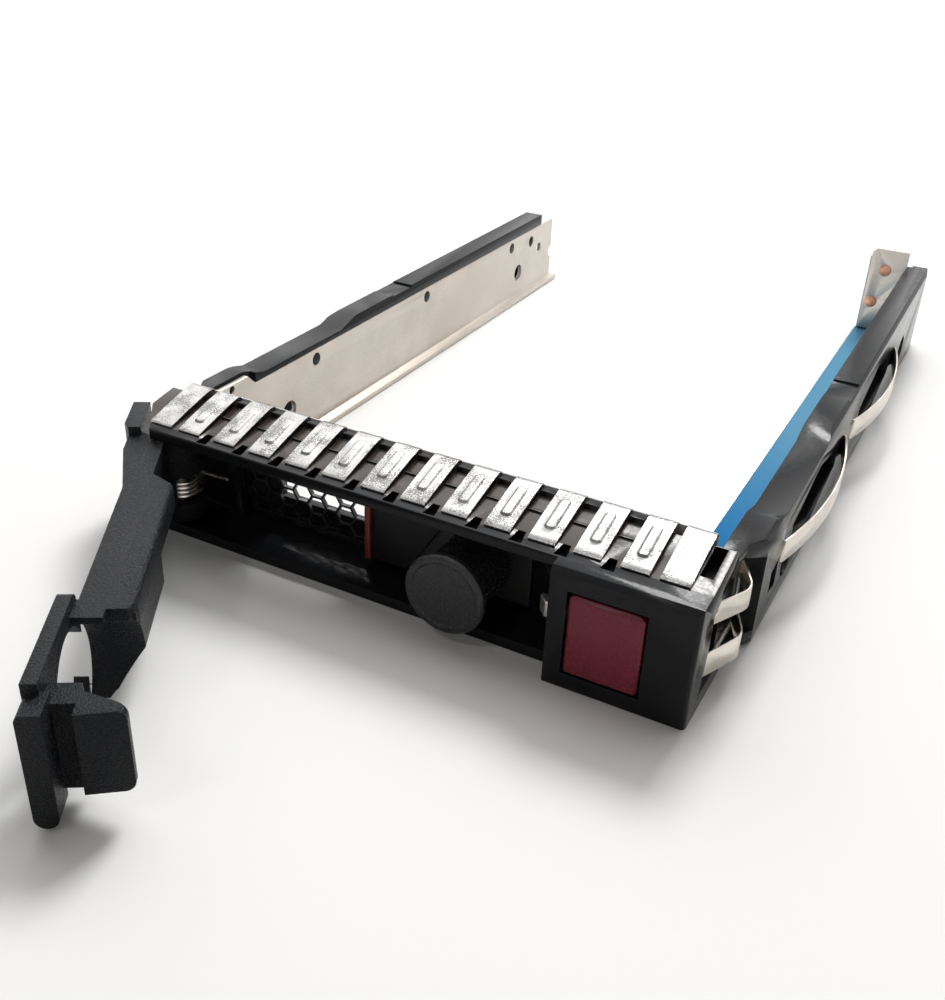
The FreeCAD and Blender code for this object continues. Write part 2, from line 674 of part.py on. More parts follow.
pocket(bezel, "clip_seat_cut", "YZ_Plane", "clip_seat", "bezel_right + margin", [[
    ("clip_start - clip_play", "clip_low - clip_play"),
    ("arm_end + margin", "clip_low - clip_play"),
    ("arm_end + margin", "clip_roof"),
    ("clip_hollow_end", "clip_roof"),
    ("clip_upper_start - clip_play", "clip_bar_high_top + clip_play"),
]])
pocket(bezel, "clip_hollow", "YZ_Plane", "bezel_right - clip_hollow_depth", "bezel_right + margin",
       [box_loop("clip_start + clip_band", "clip_hollow_end",
                 "clip_low + clip_band", "clip_high - clip_band")])

# the ends of the contact comb's gaps, moulded in the top of the bezel
GAP = "(finger_pitch - finger_width)"
FIRST_GAP = "(-comb_first + finger_width)"
GAP_COUNT = "finger_count - 1"
notch = pocket(bezel, "notch", "XY_Plane", "top_front_height - notch_depth", "top_rear_height + margin", [[
    (f"{FIRST_GAP} + notch_taper", "comb_front - margin"),
    (f"{FIRST_GAP} + {GAP} - notch_taper", "comb_front - margin"),
    (f"{FIRST_GAP} + {GAP} - notch_taper * 2", "comb_front + notch_length"),
    (f"{FIRST_GAP} + notch_taper * 2", "comb_front + notch_length"),
]])
repeat(bezel, "notches", [notch], "YZ_Plane", GAP_COUNT, "finger_pitch")
tooth = pad(bezel, "tooth", "YZ_Plane", f"{FIRST_GAP} + tooth_play", f"{FIRST_GAP} + {GAP} - tooth_play", [[
    ("bezel_depth - tooth_length", "rear_height - margin"),
    ("bezel_depth", "rear_height - margin"),
    ("bezel_depth", "tooth_height - tooth_bevel"),
    ("bezel_depth - tooth_bevel", "tooth_height"),
    ("bezel_depth - tooth_length + tooth_bevel", "tooth_height"),
]])
repeat(bezel, "teeth", [tooth], "YZ_Plane", GAP_COUNT, "finger_pitch")
rib = pad(bezel, "rib", "YZ_Plane", f"{FIRST_GAP} + tooth_play", f"{FIRST_GAP} + {GAP} - tooth_play",
          [box_loop("rib_place", "rib_place + rib_thick", "top_front_height", "rib_height")])
repeat(bezel, "ribs", [rib], "YZ_Plane", GAP_COUNT, "finger_pitch")
pocket(bezel, "end_recess", "XY_Plane", "top_front_height - end_recess_depth", "top_rear_height + margin",
       [box_loop("comb_half + tooth_play", "bezel_right - end_recess_edge",
                 "end_recess_front", "top_rear - tooth_play")])

# ---------------------------------------------------------------- screen behind the recess
screen = new_body("honeycomb_screen")
pad(screen, "sheet", "XZ_Plane", "recess_depth", "recess_depth + screen_thick",
    [box_loop("-screen_left", "screen_right", "screen_low", "screen_high")])
# one column of six-sided cells and the half-raised column beside it
cells = []
COLUMN_STEP = "(cell_pitch * cos(30))"
CELL_SIDE = "((cell_pitch - cell_web) / cos(30) / 2)"
CELL_HALF = "((cell_pitch - cell_web) / 2)"
FIRST_X = "(-screen_left + cell_pitch / 2)"
for column in range(2):
    for cell_row in range(int(size("cell_rows"))):
        x = f"{FIRST_X} + {COLUMN_STEP} * {column}"
        z = f"screen_low + cell_pitch * ({cell_row} + {column} / 2)"
        cells.append([
            (f"{x} - {CELL_SIDE}", z),
            (f"{x} - {CELL_SIDE} / 2", f"{z} - {CELL_HALF}"),
            (f"{x} + {CELL_SIDE} / 2", f"{z} - {CELL_HALF}"),
            (f"{x} + {CELL_SIDE}", z),
            (f"{x} + {CELL_SIDE} / 2", f"{z} + {CELL_HALF}"),
            (f"{x} - {CELL_SIDE} / 2", f"{z} + {CELL_HALF}"),
        ])
cell = pocket(screen, "cells", "XZ_Plane",
              "recess_depth - margin", "recess_depth + screen_thick + margin", cells)
repeat(screen, "cell_columns", [cell], "YZ_Plane", "cell_columns", f"{COLUMN_STEP} * 2")
pad(screen, "rim", "XZ_Plane", "recess_depth", "recess_depth + screen_thick", [
    box_loop("-screen_left", "screen_right", "screen_low", "screen_high"),
    box_loop("-screen_left + screen_frame", "screen_right - screen_frame",
             "screen_low + screen_frame", "screen_high - screen_frame"),
])

# ---------------------------------------------------------------- status lamp
board = new_body("led_board")
pad(board, "plate", "XZ_Plane", "cover_front + cover_thick", "recess_depth",
    [box_loop("board_left", "board_right", "board_low", "board_high")])

cover = new_body("led_cover")
pad(cover, "plate", "XZ_Plane", "cover_front", "cover_front + cover_thick", [[
    ("board_left", "board_low"),
    ("board_left + cover_foot", "board_low"),
    ("board_left + cover_waist", "board_low + cover_waist_height"),
    ("board_left + cover_shoulder", "board_low + cover_shoulder_height"),
    ("board_left + cover_top", "board_high"),
    ("board_left", "board_high"),
]])

guide = new_body("led_light_guide")
pad(guide, "strip", "XY_Plane", "board_low", "guide_high", [box_loop(
    "board_left - guide_thick", "board_left", "guide_front", "recess_depth")])

lens = new_body("status_lens", ("lens_place", "-origin_setback", "lens_height"))
profile = new_sketch(lens, "lens_profile", "XY_Plane", "0", [[
    ("0", "lens_front + lens_dish"),
    ("lens_radius - lens_rim - lens_dish", "lens_front + lens_dish"),
    ("lens_radius - lens_rim", "lens_front"),
    ("lens_radius - lens_edge", "lens_front"),
    ("lens_radius", "lens_front + lens_edge"),
    ("lens_radius", "lens_front + lens_flange"),
    ("stem_radius", "lens_front + lens_flange"),
    ("stem_radius", "cover_front + cover_thick"),
    ("0", "cover_front + cover_thick"),
]])
turned = lens.newObject("PartDesign::Revolution", "turned")
turned.Profile = profile
turned.ReferenceAxis = (profile, ["V_Axis"])
doc.recompute()

# ---------------------------------------------------------------- release button, its spring and the latch
button = new_body("release_button")
pad(button, "block", "XZ_Plane", "-button_proud", "button_end",
    [box_loop("button_left", "button_right", "button_low", "button_high")])
dress(button, "front_bevel", "Chamfer", "button_bevel",
      lambda edge: near(edge.CenterOfMass.y, -size("button_proud")))
dress(button, "corners", "Fillet", "button_bevel * 2",
      lambda edge: runs_along(edge, "y") and edge.Length > size("button_end") / 2)
pocket(button, "latch_slot", "YZ_Plane", "button_left - margin", "button_right + margin", [box_loop(
    "button_wall - button_proud", "button_end + margin",
    "latch_low - latch_play", "latch_high + latch_play")])
pad(button, "cam_pin", "XY_Plane", "latch_low - latch_play", "latch_high + latch_play",
    [("cam_place", "cam_depth", "cam_radius")])
pocket(button, "spring_bore", "XZ_Plane", "coil_start - button_travel - coil_bore_gap", "button_end + margin",
       [("coil_place", "coil_height", "coil_bore")])

latch = new_body("latch")
pad(latch, "plate", "XY_Plane", "latch_low", "latch_high", [[
    ("latch_nose", "latch_nose_end"),
    ("latch_nose", "latch_front + latch_nose_ramp"),
    ("latch_nose + latch_nose_ramp", "latch_front"),
    ("latch_right", "latch_front"),
    ("latch_right", "latch_back"),
    ("latch_body", "latch_back"),
    ("latch_body", "latch_nose_end"),
]])
pocket(latch, "cam_slot", "XY_Plane", "latch_low - margin", "latch_high + margin", [[
    ("cam_place + cam_slot_half * 2", "cam_depth"),
    ("cam_place - button_travel", "cam_depth + button_travel + cam_slot_half * 2"),
    ("cam_place - button_travel - cam_slot_half * 2", "cam_depth + button_travel"),
    ("cam_place", "cam_depth - cam_slot_half * 2"),
]])


WIRE_SIDES = 8


def coil_spring(body, name, role, axis, radius, wire, low, high, turns):
    """A wire wound about an origin axis, from low to high, with a many-sided section."""
    across, along = f"({radius})", f"({low} + ({wire}))"
    angles = [f"360 * ({i} + 0.5) / {WIRE_SIDES}" for i in range(WIRE_SIDES)]
    corners = [(f"{across} + ({wire}) * cos({angle})", f"{along} + ({wire}) * sin({angle})")
               for angle in angles]
    section = new_sketch(body, f"{name}_wire", role, "0", [corners])
    coil = body.newObject("PartDesign::AdditiveHelix", name)
    coil.Profile = section
    coil.ReferenceAxis = (section, [axis])
    coil.Mode = 1
    coil.setExpression("Pitch", bound(f"({high} - ({low}) - ({wire}) * 2) / ({turns})"))
    coil.setExpression("Turns", bound(turns))
    coil.setExpression("Height", bound(f"{high} - ({low}) - ({wire}) * 2"))
    doc.recompute()
    return coil


button_spring = new_body("button_spring", ("coil_place", "-origin_setback", "coil_height"))
coil_spring(button_spring, "coil", "XY_Plane", "V_Axis", "coil_radius - coil_wire", "coil_wire",
            "coil_start", "pocket_end", "coil_turns")

# ---------------------------------------------------------------- ejector lever, drawn closed
LEVER_PLACE = ("-pivot_place", "pivot_depth - origin_setback", "0")
lever = new_body("ejector_lever", LEVER_PLACE)
lever.setExpression("Placement.Rotation.Angle", bound("-lever_open * 1deg"))


def from_pivot(points):
    """Corner points of the closed lever, read from its pivot."""
    return [(f"{x} + pivot_place", f"{y} - pivot_depth") for x, y in points]


def across_pivot(points):
    """Corner points of the closed lever's front view, read from its pivot."""
    return [(f"{x} + pivot_place", z) for x, z in points]


pad(lever, "web", "XY_Plane", "lever_low", "lever_high", [from_pivot([
    ("-heel_start", "0"),
    ("-panel_left", "0"),
    ("-label_left", "label_setback"),
    ("ring_plate_left", "label_setback"),
    ("ring_plate_left", "web_back"),
    ("-heel_start + knuckle_radius", "web_back"),
    ("-heel_start", "heel_thick - heel_front"),
])])
dress(lever, "web_edge", "Fillet", "lever_round",
      lambda edge: runs_along(edge, "x") and near(edge.CenterOfMass.y, size("web_back") - size("pivot_depth"))
      and near(edge.CenterOfMass.z, size("lever_low")))
pad(lever, "knuckle", "XY_Plane", "lever_low", "lever_high", [("0", "0", "knuckle_radius")])
pad(lever, "heel", "XY_Plane", "lever_low", "heel_high", [from_pivot([
    ("-heel_end", "-heel_front"),
    ("-heel_start", "-heel_front"),
    ("-heel_start + margin", "0"),
    ("-heel_start + margin", "heel_thick - heel_front"),
    ("-heel_end", "heel_thick - heel_front"),
])])
pad(lever, "flange", "XY_Plane", "flange_low", "lever_high", [from_pivot([
    ("-flange_left", "label_setback"),
    ("flange_end", "label_setback"),
    ("flange_end", "flange_back - heel_front"),
    ("flange_end - label_setback", "flange_back"),
    ("-flange_left + label_setback", "flange_back"),
    ("-flange_left - margin", "web_back"),
])])
dress(lever, "flange_edge", "Fillet", "flange_round",
      lambda edge: runs_along(edge, "x") and near(edge.CenterOfMass.z, size("lever_high"))
      and near(edge.CenterOfMass.y, size("flange_back") - size("pivot_depth")))
pad(lever, "shoulder", "YZ_Plane", "shoulder_left + pivot_place", "shoulder_end + pivot_place", [[
    ("label_setback - pivot_depth", "lever_low"),
    ("web_back - pivot_depth - shoulder_round", "lever_low"),
    ("web_back - pivot_depth", "lever_low + shoulder_round"),
    ("shoulder_back - pivot_depth", "shoulder_slope"),
    ("shoulder_back - pivot_depth", "lever_high - margin"),
    ("label_setback - pivot_depth", "lever_high - margin"),
]])
pad(lever, "collar", "XZ_Plane", "-pivot_depth", "collar_back - pivot_depth", [across_pivot([
    ("shoulder_end - margin", "lever_low + shoulder_round"),
    ("collar_end", "lever_low + shoulder_round"),
    ("collar_end", "lever_high"),
    ("shoulder_end - margin", "lever_high"),
])])
pad(lever, "ring_plate", "XZ_Plane", "-pivot_depth", "ring_plate_thick - pivot_depth", [across_pivot(box_loop(
    "ring_plate_left", "end_plate_left + margin / 2", "ring_plate_low", "ring_plate_high"))])
dress(lever, "ring_plate_corner", "Fillet", "ring_corner",
      lambda edge: runs_along(edge, "y") and near(edge.CenterOfMass.z, size("ring_plate_high"))
      and near(edge.CenterOfMass.x, size("ring_plate_left") + size("pivot_place")))
pad(lever, "end_plate", "XZ_Plane", "-pivot_depth", "end_plate_thick - pivot_depth", [across_pivot(box_loop(
    "end_plate_left", "lever_tip", "ring_plate_low + end_plate_thick / 2", "lever_high"))])
pad(lever, "end_plate_foot", "YZ_Plane", "end_plate_left + pivot_place", "lever_tip + pivot_place", [
    ("end_plate_thick / 2 - pivot_depth", "ring_plate_low + end_plate_thick / 2", "end_plate_thick / 2")])
dress(lever, "end_plate_edge", "Fillet", "end_plate_round",
      lambda edge: runs_along(edge, "x") and near(edge.CenterOfMass.y, -size("pivot_depth"))
      and near(edge.CenterOfMass.z, size("lever_high"))
      and edge.BoundBox.XMax > size("lever_tip") + size("pivot_place") - size("margin") / 2)
RING = ("lens_place + pivot_place", "lens_height")
pocket(lever, "ring_hole", "XZ_Plane", "-pivot_depth - margin", "collar_back - pivot_depth + margin",
       [(*RING, "lens_radius + ring_play")])
pocket(lever, "ring_cup", "XZ_Plane",
       "ring_plate_thick - pivot_depth", "shoulder_back - pivot_depth + margin",
       [(*RING, "lens_radius + ring_play + cup_step")])
pad(lever, "hook_block", "XY_Plane", "hook_block_low", "hook_high", [from_pivot([
    ("hook_block_left", "ring_plate_thick - heel_front"),
    ("hook_block_right", "ring_plate_thick - heel_front"),
    ("hook_block_right", "hook_front"),
    ("hook_block_left", "hook_front"),
])])
pad(lever, "hook", "XY_Plane", "hook_low", "hook_high", [from_pivot([
    ("hook_block_left", "hook_front - hook_overlap"),
    ("hook_block_right", "hook_front - hook_overlap"),
    ("hook_block_right", "hook_front"),
    ("hook_right", "hook_front"),
    ("hook_right - hook_taper", "hook_back"),
    ("hook_tip_left", "hook_back"),
    ("hook_block_left + margin", "hook_front"),
])])
dress(lever, "hook_corners", "Fillet", "hook_corner",
      lambda edge: runs_along(edge, "x")
      and near(edge.CenterOfMass.y, size("hook_back") - size("pivot_depth")))
pocket(lever, "spring_room", "XY_Plane", "spring_gap_low", "spring_gap_high",
       [("0", "0", "spring_gap_radius")])
pocket(lever, "spring_side", "XY_Plane", "spring_gap_low", "spring_gap_high", [[
    ("-knuckle_radius - margin", "0"),
    ("knuckle_radius + margin", "0"),
    ("knuckle_radius + margin", "knuckle_radius + margin"),
    ("-knuckle_radius - margin", "knuckle_radius + margin"),
]])
pocket(lever, "pivot_hole", "XY_Plane", "lever_low - margin", "lever_high + margin",
       [("0", "0", "pivot_radius + fit")])

lever_pin = new_body("lever_pivot_pin", LEVER_PLACE)
pad(lever_pin, "pin", "XY_Plane", "pin_low", "pin_high", [("0", "0", "pivot_radius")])

torsion = new_body("lever_torsion_spring", LEVER_PLACE)
coil_spring(torsion, "coil", "XZ_Plane", "V_Axis", "torsion_radius", "torsion_wire",
            "torsion_low", "torsion_high", "torsion_turns")
pad(torsion, "leg", "YZ_Plane", "0", "pivot_place - leg_rib_place - torsion_wire", [
    ("torsion_radius", "torsion_high - torsion_wire", "torsion_wire")])
pad(torsion, "stub", "YZ_Plane", "0", "torsion_stub", [
    ("torsion_radius", "torsion_low + torsion_wire", "torsion_wire")])

# ---------------------------------------------------------------- contact comb over the bezel
comb = new_body("emi_finger_strip")
FINGER_LINE = [
    ("comb_front", "comb_lip"),
    ("comb_front", "comb_tip_height"),
    ("comb_mid", "comb_mid_height"),
    ("comb_high", "comb_high_height"),
    ("comb_crest", "comb_crest_height"),
    ("comb_back", "comb_shoulder"),
    ("comb_back", "comb_skirt"),
]
FINGER_UNDERSIDE = [
    ("bezel_depth + comb_behind", "comb_skirt"),
    ("bezel_depth + comb_behind", "comb_shoulder - comb_thick / 2"),
    ("comb_crest", "comb_crest_height - comb_thick"),
    ("comb_high", "comb_high_height - comb_thick"),
    ("comb_mid", "comb_mid_height - comb_thick"),
    ("comb_front + comb_thick", "comb_tip_height - comb_thick"),
    ("comb_front + comb_thick", "comb_lip"),
]
finger = pad(comb, "finger", "YZ_Plane", "-comb_first", "-comb_first + finger_width",
             [FINGER_LINE + FINGER_UNDERSIDE])
FRONT_SLOPE = "(comb_mid_height - comb_tip_height) / (comb_mid - comb_front)"
REAR_SLOPE = "(comb_crest_height - comb_high_height) / (comb_crest - comb_high)"
BEAD_FOOT = f"comb_tip_height + (bead_start - comb_front) * {FRONT_SLOPE}"
BEAD_TAIL = f"comb_high_height + (bead_end - comb_high) * {REAR_SLOPE}"
bead = pad(comb, "bead", "YZ_Plane", "-comb_first + (finger_width - bead_width) / 2",
           "-comb_first + (finger_width + bead_width) / 2", [[
               ("bead_start", f"{BEAD_FOOT} - comb_thick / 2"),
               ("bead_start", BEAD_FOOT),
               ("bead_start + bead_ramp", f"{BEAD_FOOT} + bead_ramp * {FRONT_SLOPE} + bead_rise"),
               ("comb_mid", "comb_mid_height + bead_rise"),
               ("comb_high", "comb_high_height + bead_rise"),
               ("bead_end - bead_ramp", f"{BEAD_TAIL} - bead_ramp * {REAR_SLOPE} + bead_rise"),
               ("bead_end", BEAD_TAIL),
               ("bead_end", f"{BEAD_TAIL} - comb_thick / 2"),
               ("comb_high", "comb_high_height - comb_thick / 2"),
               ("comb_mid", "comb_mid_height - comb_thick / 2"),
           ]])
band = pad(comb, "band", "YZ_Plane", "-comb_half", "comb_half", [[
    ("bezel_depth + comb_behind", "comb_skirt"),
    ("comb_back", "comb_skirt"),
    ("comb_back", "comb_shoulder"),
    ("bezel_depth + comb_behind", "comb_shoulder - comb_thick / 2"),
]])
repeat(comb, "fingers", [finger, bead], "YZ_Plane", "finger_count", "finger_pitch")
for side, word in ((-1, "left"), (1, "right")):
    start, end = sided(side, "comb_half - end_finger_width", "comb_half")
    pad(comb, f"{word}_finger", "YZ_Plane", start, end, [FINGER_LINE + FINGER_UNDERSIDE])


# ---------------------------------------------------------------- strips of spring steel that bow outwards
def bow_strip(body, name, low, high, seat, start, span, rise, thick, tab):
    """A strip on the right side, seen from above: turned-in ends with an arc between them."""
    sketch = new_sketch(body, f"{name}_sketch", "XY_Plane", low, [])
    words = (seat, start, span, rise, thick, tab)
    seat_at, start_at, long, high_at, thin, tab_at = (size(word) for word in words)
    corners = [
        (f"{seat} - {tab}", start, seat_at - tab_at, start_at),
        (f"{seat} + {thick}", start, seat_at + thin, start_at),
        (f"{seat} + {thick}", f"{start} + {span}", seat_at + thin, start_at + long),
        (f"{seat} - {tab}", f"{start} + {span}", seat_at - tab_at, start_at + long),
        (f"{seat} - {tab}", f"{start} + {span} - {thick}", seat_at - tab_at, start_at + long - thin),
        (seat, f"{start} + {span} - {thick}", seat_at, start_at + long - thin),
        (seat, f"{start} + {thick}", seat_at, start_at + thin),
        (f"{seat} - {tab}", f"{start} + {thick}", seat_at - tab_at, start_at + thin),
    ]
    # the two arcs, outer and inner; the inner one runs the other way round the loop
    chords = {1: (span, long), 5: (f"({span} - {thick} * 2)", long - 2 * thin)}
    ends = [(1, 2)] * len(corners)
    ends[5] = (2, 1)
    for i, (x, y, x_at, y_at) in enumerate(corners):
        after = corners[(i + 1) % len(corners)]
        if i in chords:
            chord = chords[i][1]
            radius = (chord ** 2 / 4 + high_at ** 2) / (2 * high_at)
            half = math.asin(chord / 2 / radius)
            centre = FreeCAD.Vector(x_at + high_at - radius, start_at + long / 2, 0)
            circle = Part.Circle(centre, FreeCAD.Vector(0, 0, 1), radius)
            sketch.addGeometry(Part.ArcOfCircle(circle, -half, half), False)
        else:
            line = Part.LineSegment(FreeCAD.Vector(x_at, y_at, 0), FreeCAD.Vector(after[2], after[3], 0))
            sketch.addGeometry(line, False)
    for i in range(len(corners)):
        after = (i + 1) % len(corners)
        sketch.addConstraint(Sketcher.Constraint("Coincident", i, ends[i][1], after, ends[after][0]))
    for i, (x, y, x_at, y_at) in enumerate(corners):
        pin_point(sketch, i, ends[i][0], x, y, x_at, y_at)
    for i, (chord, chord_at) in chords.items():
        held = sketch.addConstraint(Sketcher.Constraint("Radius", i, sketch.Geometry[i].Radius))
        sketch.setExpression(f"Constraints[{held}]", bound(f"({chord} ^ 2 / 4 + {rise} ^ 2) / ({rise} * 2)"))
    feature = body.newObject("PartDesign::Pad", name)
    feature.Profile = sketch
    feature.setExpression("Length", bound(f"({high}) - ({low})"))
    doc.recompute()
    return feature


clip = new_body("emi_side_clip")
pad(clip, "frame", "YZ_Plane", "clip_seat", "clip_seat + clip_thick", [
    [
        ("clip_start", "clip_low"),
        ("clip_end", "clip_low"),
        ("clip_end", "clip_rear_top - clip_play"),
        ("clip_apex", "clip_high + clip_apex_rise"),
        ("clip_upper_start", "clip_bar_high_top"),
    ],
    [
        ("clip_lower_start + clip_band / 2", "clip_low + clip_band"),
        ("clip_end - clip_band", "clip_low + clip_band"),
        ("clip_end - clip_band", "clip_rear_top - clip_band * 2"),
        ("clip_apex", "clip_high - clip_band / 2"),
        ("clip_upper_start + clip_band", "clip_bar_high_top - clip_band"),
    ],
])
CREST = "(clip_seat + clip_rise)"
BAR_ROOT = "(clip_seat + clip_root)"
for word, low, high, start, span in (
    ("lower", "clip_bar_low", "clip_bar_low_top", "clip_lower_start", "clip_lower_span"),
    ("upper", "clip_bar_high", "clip_bar_high_top", "clip_upper_start", "clip_upper_span"),
):
    middle = f"({start} + {span} / 2)"
    wall = f"(clip_thick * sqrt(1 + ({span} / clip_rise / 2) ^ 2))"
    pad(clip, f"{word}_bar", "XY_Plane", low, high, [[
        (BAR_ROOT, start),
        (f"{CREST} - clip_crest_drop", f"{middle} - clip_crest * 3"),
        (CREST, f"{middle} - clip_crest"),
        (CREST, f"{middle} + clip_crest"),
        (f"{CREST} - clip_crest_drop", f"{middle} + clip_crest * 3"),
        (BAR_ROOT, f"{start} + {span}"),
        (BAR_ROOT, f"{start} + {span} - {wall}"),
        (f"{CREST} - clip_crest_drop - clip_thick", f"{middle} + clip_crest * 3"),
        (f"{CREST} - clip_thick", f"{middle} + clip_crest"),
        (f"{CREST} - clip_thick", f"{middle} - clip_crest"),
        (f"{CREST} - clip_crest_drop - clip_thick", f"{middle} - clip_crest * 3"),
        (BAR_ROOT, f"{start} + {wall}"),
    ]])

# ---------------------------------------------------------------- side plates
left_plate = new_body("left_side_plate")
pad(left_plate, "fold", "XZ_Plane", "plate_front", "left_plate_end", [[
    ("-plate_out", "0"),
    ("-bay + left_foot", "0"),
    ("-bay + left_foot", "plate_thick"),
    ("-bay", "plate_thick"),
    ("-bay", "plate_height"),
    ("-plate_out", "plate_height"),
]])
pad(left_plate, "ear", "YZ_Plane", "-plate_out", "-bay", [[
    ("ear_start", "plate_height"),
    ("ear_start + ear_length", "plate_height"),
    ("ear_start + ear_length - ear_rise", "plate_height + ear_rise"),
    ("ear_start + ear_rise", "plate_height + ear_rise"),
]])
right_plate = new_body("right_side_plate")
pad(right_plate, "fold", "XZ_Plane", "plate_front", "right_plate_end", [[
    ("plate_out", "0"),
    ("bay - right_foot", "0"),
    ("bay - right_foot", "plate_thick"),
    ("bay", "plate_thick"),
    ("bay", "plate_height"),
    ("plate_out", "plate_height"),
]])
pocket(right_plate, "foot_end_cut", "XY_Plane", "-margin", "plate_thick", [box_loop(
    "bay - right_foot - margin", "bay", "foot_end", "right_plate_end + margin")])
pad(right_plate, "tab", "XZ_Plane", "right_plate_end - plate_thick", "right_plate_end", [[
    ("plate_out - tab_width", "tab_clear"),
    ("plate_out", "tab_clear"),
    ("plate_out", "plate_height"),
    ("bay - plate_gap", "plate_height"),
    ("bay - plate_gap", "tab_height"),
    ("plate_out - tab_width + tab_corner", "tab_height"),
    ("plate_out - tab_width", "tab_height - tab_corner"),
]])
RIVET_FRONT = "right_plate_end - plate_thick - margin"
pocket(right_plate, "rivet_holes", "XZ_Plane", RIVET_FRONT, "right_plate_end + margin", [
    ("rivet_one_place", "rivet_one_height", "rivet_radius + fit"),
    ("rivet_two_place", "rivet_two_height", "rivet_radius + fit"),
])
STAKE_COUNT = 3
STAKES = [(f"stake_first + stake_pitch * {i}", "stake_height") for i in range(STAKE_COUNT)]
ARM_STAKES = [("arm_stake_place", height) for height in ("arm_stake_low", "arm_stake_high")]
for side, plate in ((-1, left_plate), (1, right_plate)):
    dress(plate, "outer_bend", "Fillet", "plate_thick + bend_radius", lambda edge: runs_along(edge, "y")
          and near(abs(edge.CenterOfMass.x), size("plate_out"))
          and near(edge.CenterOfMass.z, 0))
    start, end = sided(side, "bay - margin", "plate_out + margin")
    pocket(plate, "holes", "YZ_Plane", start, end, [
        ("drive_hole_rear", "drive_hole_height", "drive_hole_radius"),
        ("drive_hole_rear - drive_hole_pitch", "drive_hole_height", "drive_hole_radius"),
    ] + [(y, z, "stake_radius + fit") for y, z in STAKES]
      + [(y, z, "arm_stake_radius + fit") for y, z in ARM_STAKES])
pocket(left_plate, "lock_holes", "YZ_Plane", "-plate_out - margin", "-bay + margin", [
    ("lock_hole_front", "lock_hole_high", "lock_hole_radius"),
    ("lock_hole_rear", "lock_hole_low", "lock_hole_radius"),
    ("ear_start + ear_length / 2", "plate_height + ear_rise / 2", "ear_hole_radius"),
    ("left_plate_end", "lock_hole_low - plate_nick * 2", "plate_nick"),
])

